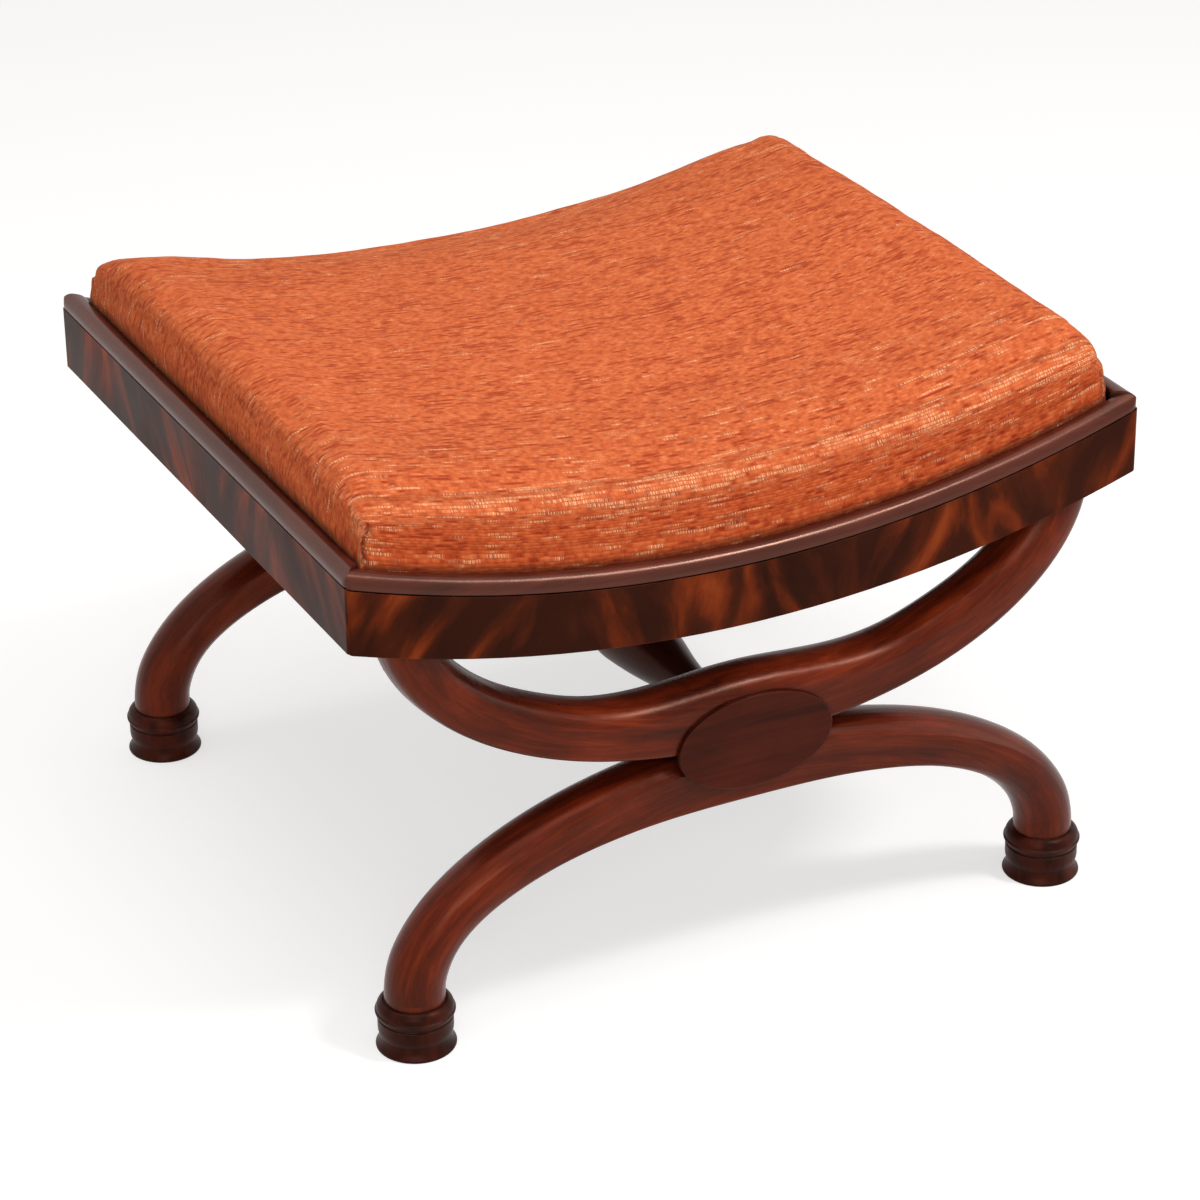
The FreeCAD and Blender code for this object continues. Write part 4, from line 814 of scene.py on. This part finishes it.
def sheet_mesh(name, low, high, top_rise, sag):
    """Thin closed sheet on the dish, with an even sag between its edges."""
    thickness, step = 0.001, 0.006
    count_x, count_y = round((high.x - low.x) / step), round((high.y - low.y) / step)
    points, faces = [], []
    for layer in (0.0, thickness):
        for j in range(count_y + 1):
            y = mix(low.y, high.y, j / count_y)
            for i in range(count_x + 1):
                x = mix(low.x, high.x, i / count_x)
                free = math.sin(math.pi * i / count_x) * math.sin(math.pi * j / count_y)
                ripple = 0.0003 * noise.noise(Vector((x * 30, y * 30, top_rise * 90))) * free
                points.append(Vector((x, y, dish(x, top_rise) - layer - sag * free ** 0.7 + ripple)))
    width = count_x + 1
    base = width * (count_y + 1)
    for j in range(count_y):
        for i in range(count_x):
            start = j * width + i
            quad = (start, start + 1, start + width + 1, start + width)
            faces.append(quad)
            faces.append(tuple(base + corner for corner in quad[::-1]))
    edge = list(range(count_x)) + [count_x + j * width for j in range(count_y)]
    edge += [count_y * width + i for i in range(count_x, 0, -1)]
    edge += [j * width for j in range(count_y, 0, -1)]
    for first, second in zip(edge, edge[1:] + edge[:1]):
        faces.append((second, first, base + first, base + second))
    mesh = bpy.data.meshes.new(name)
    mesh.from_pydata(points, [], faces)
    mesh.shade_smooth()
    return mesh


def cloth_sheet(name, node, material, sag):
    """A sheet of cloth in place of a node's flat solid."""
    low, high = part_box(node)
    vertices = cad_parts[node].data.vertices
    middle_top = max(vertex.co.z for vertex in vertices if abs(vertex.co.x) < 0.02)
    piece = add_object(sheet_mesh(name, low, high, middle_top - dish(0), sag))
    piece.data.materials.append(material)
    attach(piece, "slip_seat")
    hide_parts(node)


# Room, light and camera

def room():
    """Pale floor, white surroundings and soft light."""
    mesh = bpy.data.meshes.new("studio_floor")
    reach = 9.0
    corners = [(-reach, -reach, 0), (reach, -reach, 0), (reach, reach, 0), (-reach, reach, 0)]
    mesh.from_pydata(corners, [], [(0, 1, 2, 3)])
    floor = add_object(mesh)
    graph = Graph("pale_floor")
    seen = graph.sum("MULTIPLY", seen_directly(graph.tree), 0.6)
    graph.surface(Base_Color=(0.52, 0.52, 0.52), Roughness=0.9, Specular_IOR_Level=0.1)
    graph.surface(Emission_Color=(1.0, 1.0, 1.0), Emission_Strength=seen)
    mesh.materials.append(graph.material)
    world = bpy.data.worlds.new("studio_world")
    bpy.context.scene.world = world
    world.use_nodes = True
    tree = world.node_tree
    background = tree.nodes["Background"]
    background.inputs["Color"].default_value = (1.0, 0.985, 0.965, 1.0)
    level = tree.nodes.new("ShaderNodeMapRange")
    level.inputs["To Min"].default_value = WORLD_LEVEL
    tree.links.new(seen_directly(tree), level.inputs["Value"])
    tree.links.new(level.outputs[0], background.inputs["Strength"])


def seen_directly(tree):
    """1 for what the camera sees, by itself or in a reflection, and 0 for light that falls on things."""
    paths = tree.nodes.new("ShaderNodeLightPath")
    seen = paths.outputs["Is Camera Ray"]
    for kind in ("Is Glossy Ray", "Is Transmission Ray"):
        either = tree.nodes.new("ShaderNodeMath")
        either.operation = "MAXIMUM"
        tree.links.new(seen, either.inputs[0])
        tree.links.new(paths.outputs[kind], either.inputs[1])
        seen = either.outputs[0]
    return seen


def lamp(name, place, aim, size, power):
    """Rectangular lamp turned towards a point."""
    light = bpy.data.lights.new(name, "AREA")
    light.shape = "RECTANGLE"
    light.size, light.size_y = size
    light.energy = power
    light.color = (1.0, 0.97, 0.93)
    lamp_object = bpy.data.objects.new(name, light)
    bpy.context.scene.collection.objects.link(lamp_object)
    lamp_object.location = place
    lamp_object.rotation_euler = (Vector(aim) - Vector(place)).to_track_quat("-Z", "Y").to_euler()


def lamps():
    """Four lamps round the stool, all turned to its middle."""
    middle = (0.0, 0.0, 0.25)
    lamp("over_light", (-0.4, -0.1, 2.4), middle, (2.0, 1.6), 25)
    lamp("front_light", (-1.4, -2.4, 1.5), middle, (1.2, 1.2), 20)
    lamp("key_light", (1.0, -1.15, 2.15), middle, (0.4, 0.4), 27)
    lamp("side_light", (2.4, -0.9, 1.2), middle, (1.2, 1.6), 8)


def camera():
    """Camera at the photograph's place and angle."""
    data = bpy.data.cameras.new("photo_camera")
    data.sensor_width = SENSOR_WIDTH
    data.sensor_fit = "HORIZONTAL"
    data.lens = FOCAL_PIXELS / IMAGE_SIZE * SENSOR_WIDTH
    data.clip_start, data.clip_end = 0.1, 50.0
    forward = Vector((
        math.sin(CAMERA_YAW) * math.cos(CAMERA_PITCH),
        math.cos(CAMERA_YAW) * math.cos(CAMERA_PITCH),
        -math.sin(CAMERA_PITCH),
    ))
    level = Vector((math.cos(CAMERA_YAW), -math.sin(CAMERA_YAW), 0))
    upright = level.cross(forward)
    right = level * math.cos(CAMERA_ROLL) + upright * math.sin(CAMERA_ROLL)
    up = upright * math.cos(CAMERA_ROLL) - level * math.sin(CAMERA_ROLL)
    turn = Matrix((right, up, -forward)).transposed().to_4x4()
    viewer = bpy.data.objects.new("photo_camera", data)
    bpy.context.scene.collection.objects.link(viewer)
    viewer.matrix_world = Matrix.Translation(CAMERA_PLACE) @ turn
    bpy.context.scene.camera = viewer


paint_frame()
bead_mouldings()
stuffed_seat()
jute = plain_weave("hessian_jute", (0.16, 0.1, 0.05), (0.46, 0.32, 0.18), 500)
black_cotton = plain_weave("black_cotton", (0.006, 0.006, 0.007), (0.03, 0.03, 0.032), 1400)
webbing_jute = plain_weave("webbing_jute", (0.2, 0.13, 0.06), (0.52, 0.38, 0.22), 700)
paint(webbing_jute, "crosswise_webbing", "lengthwise_webbing")
cloth_sheet("hessian_sheet", "hessian", jute, 0.0)
cloth_sheet("dust_cover_sheet", "dust_cover", black_cotton, 0.0015)
room()
lamps()
camera()
bpy.context.scene.view_settings.view_transform = "Standard"
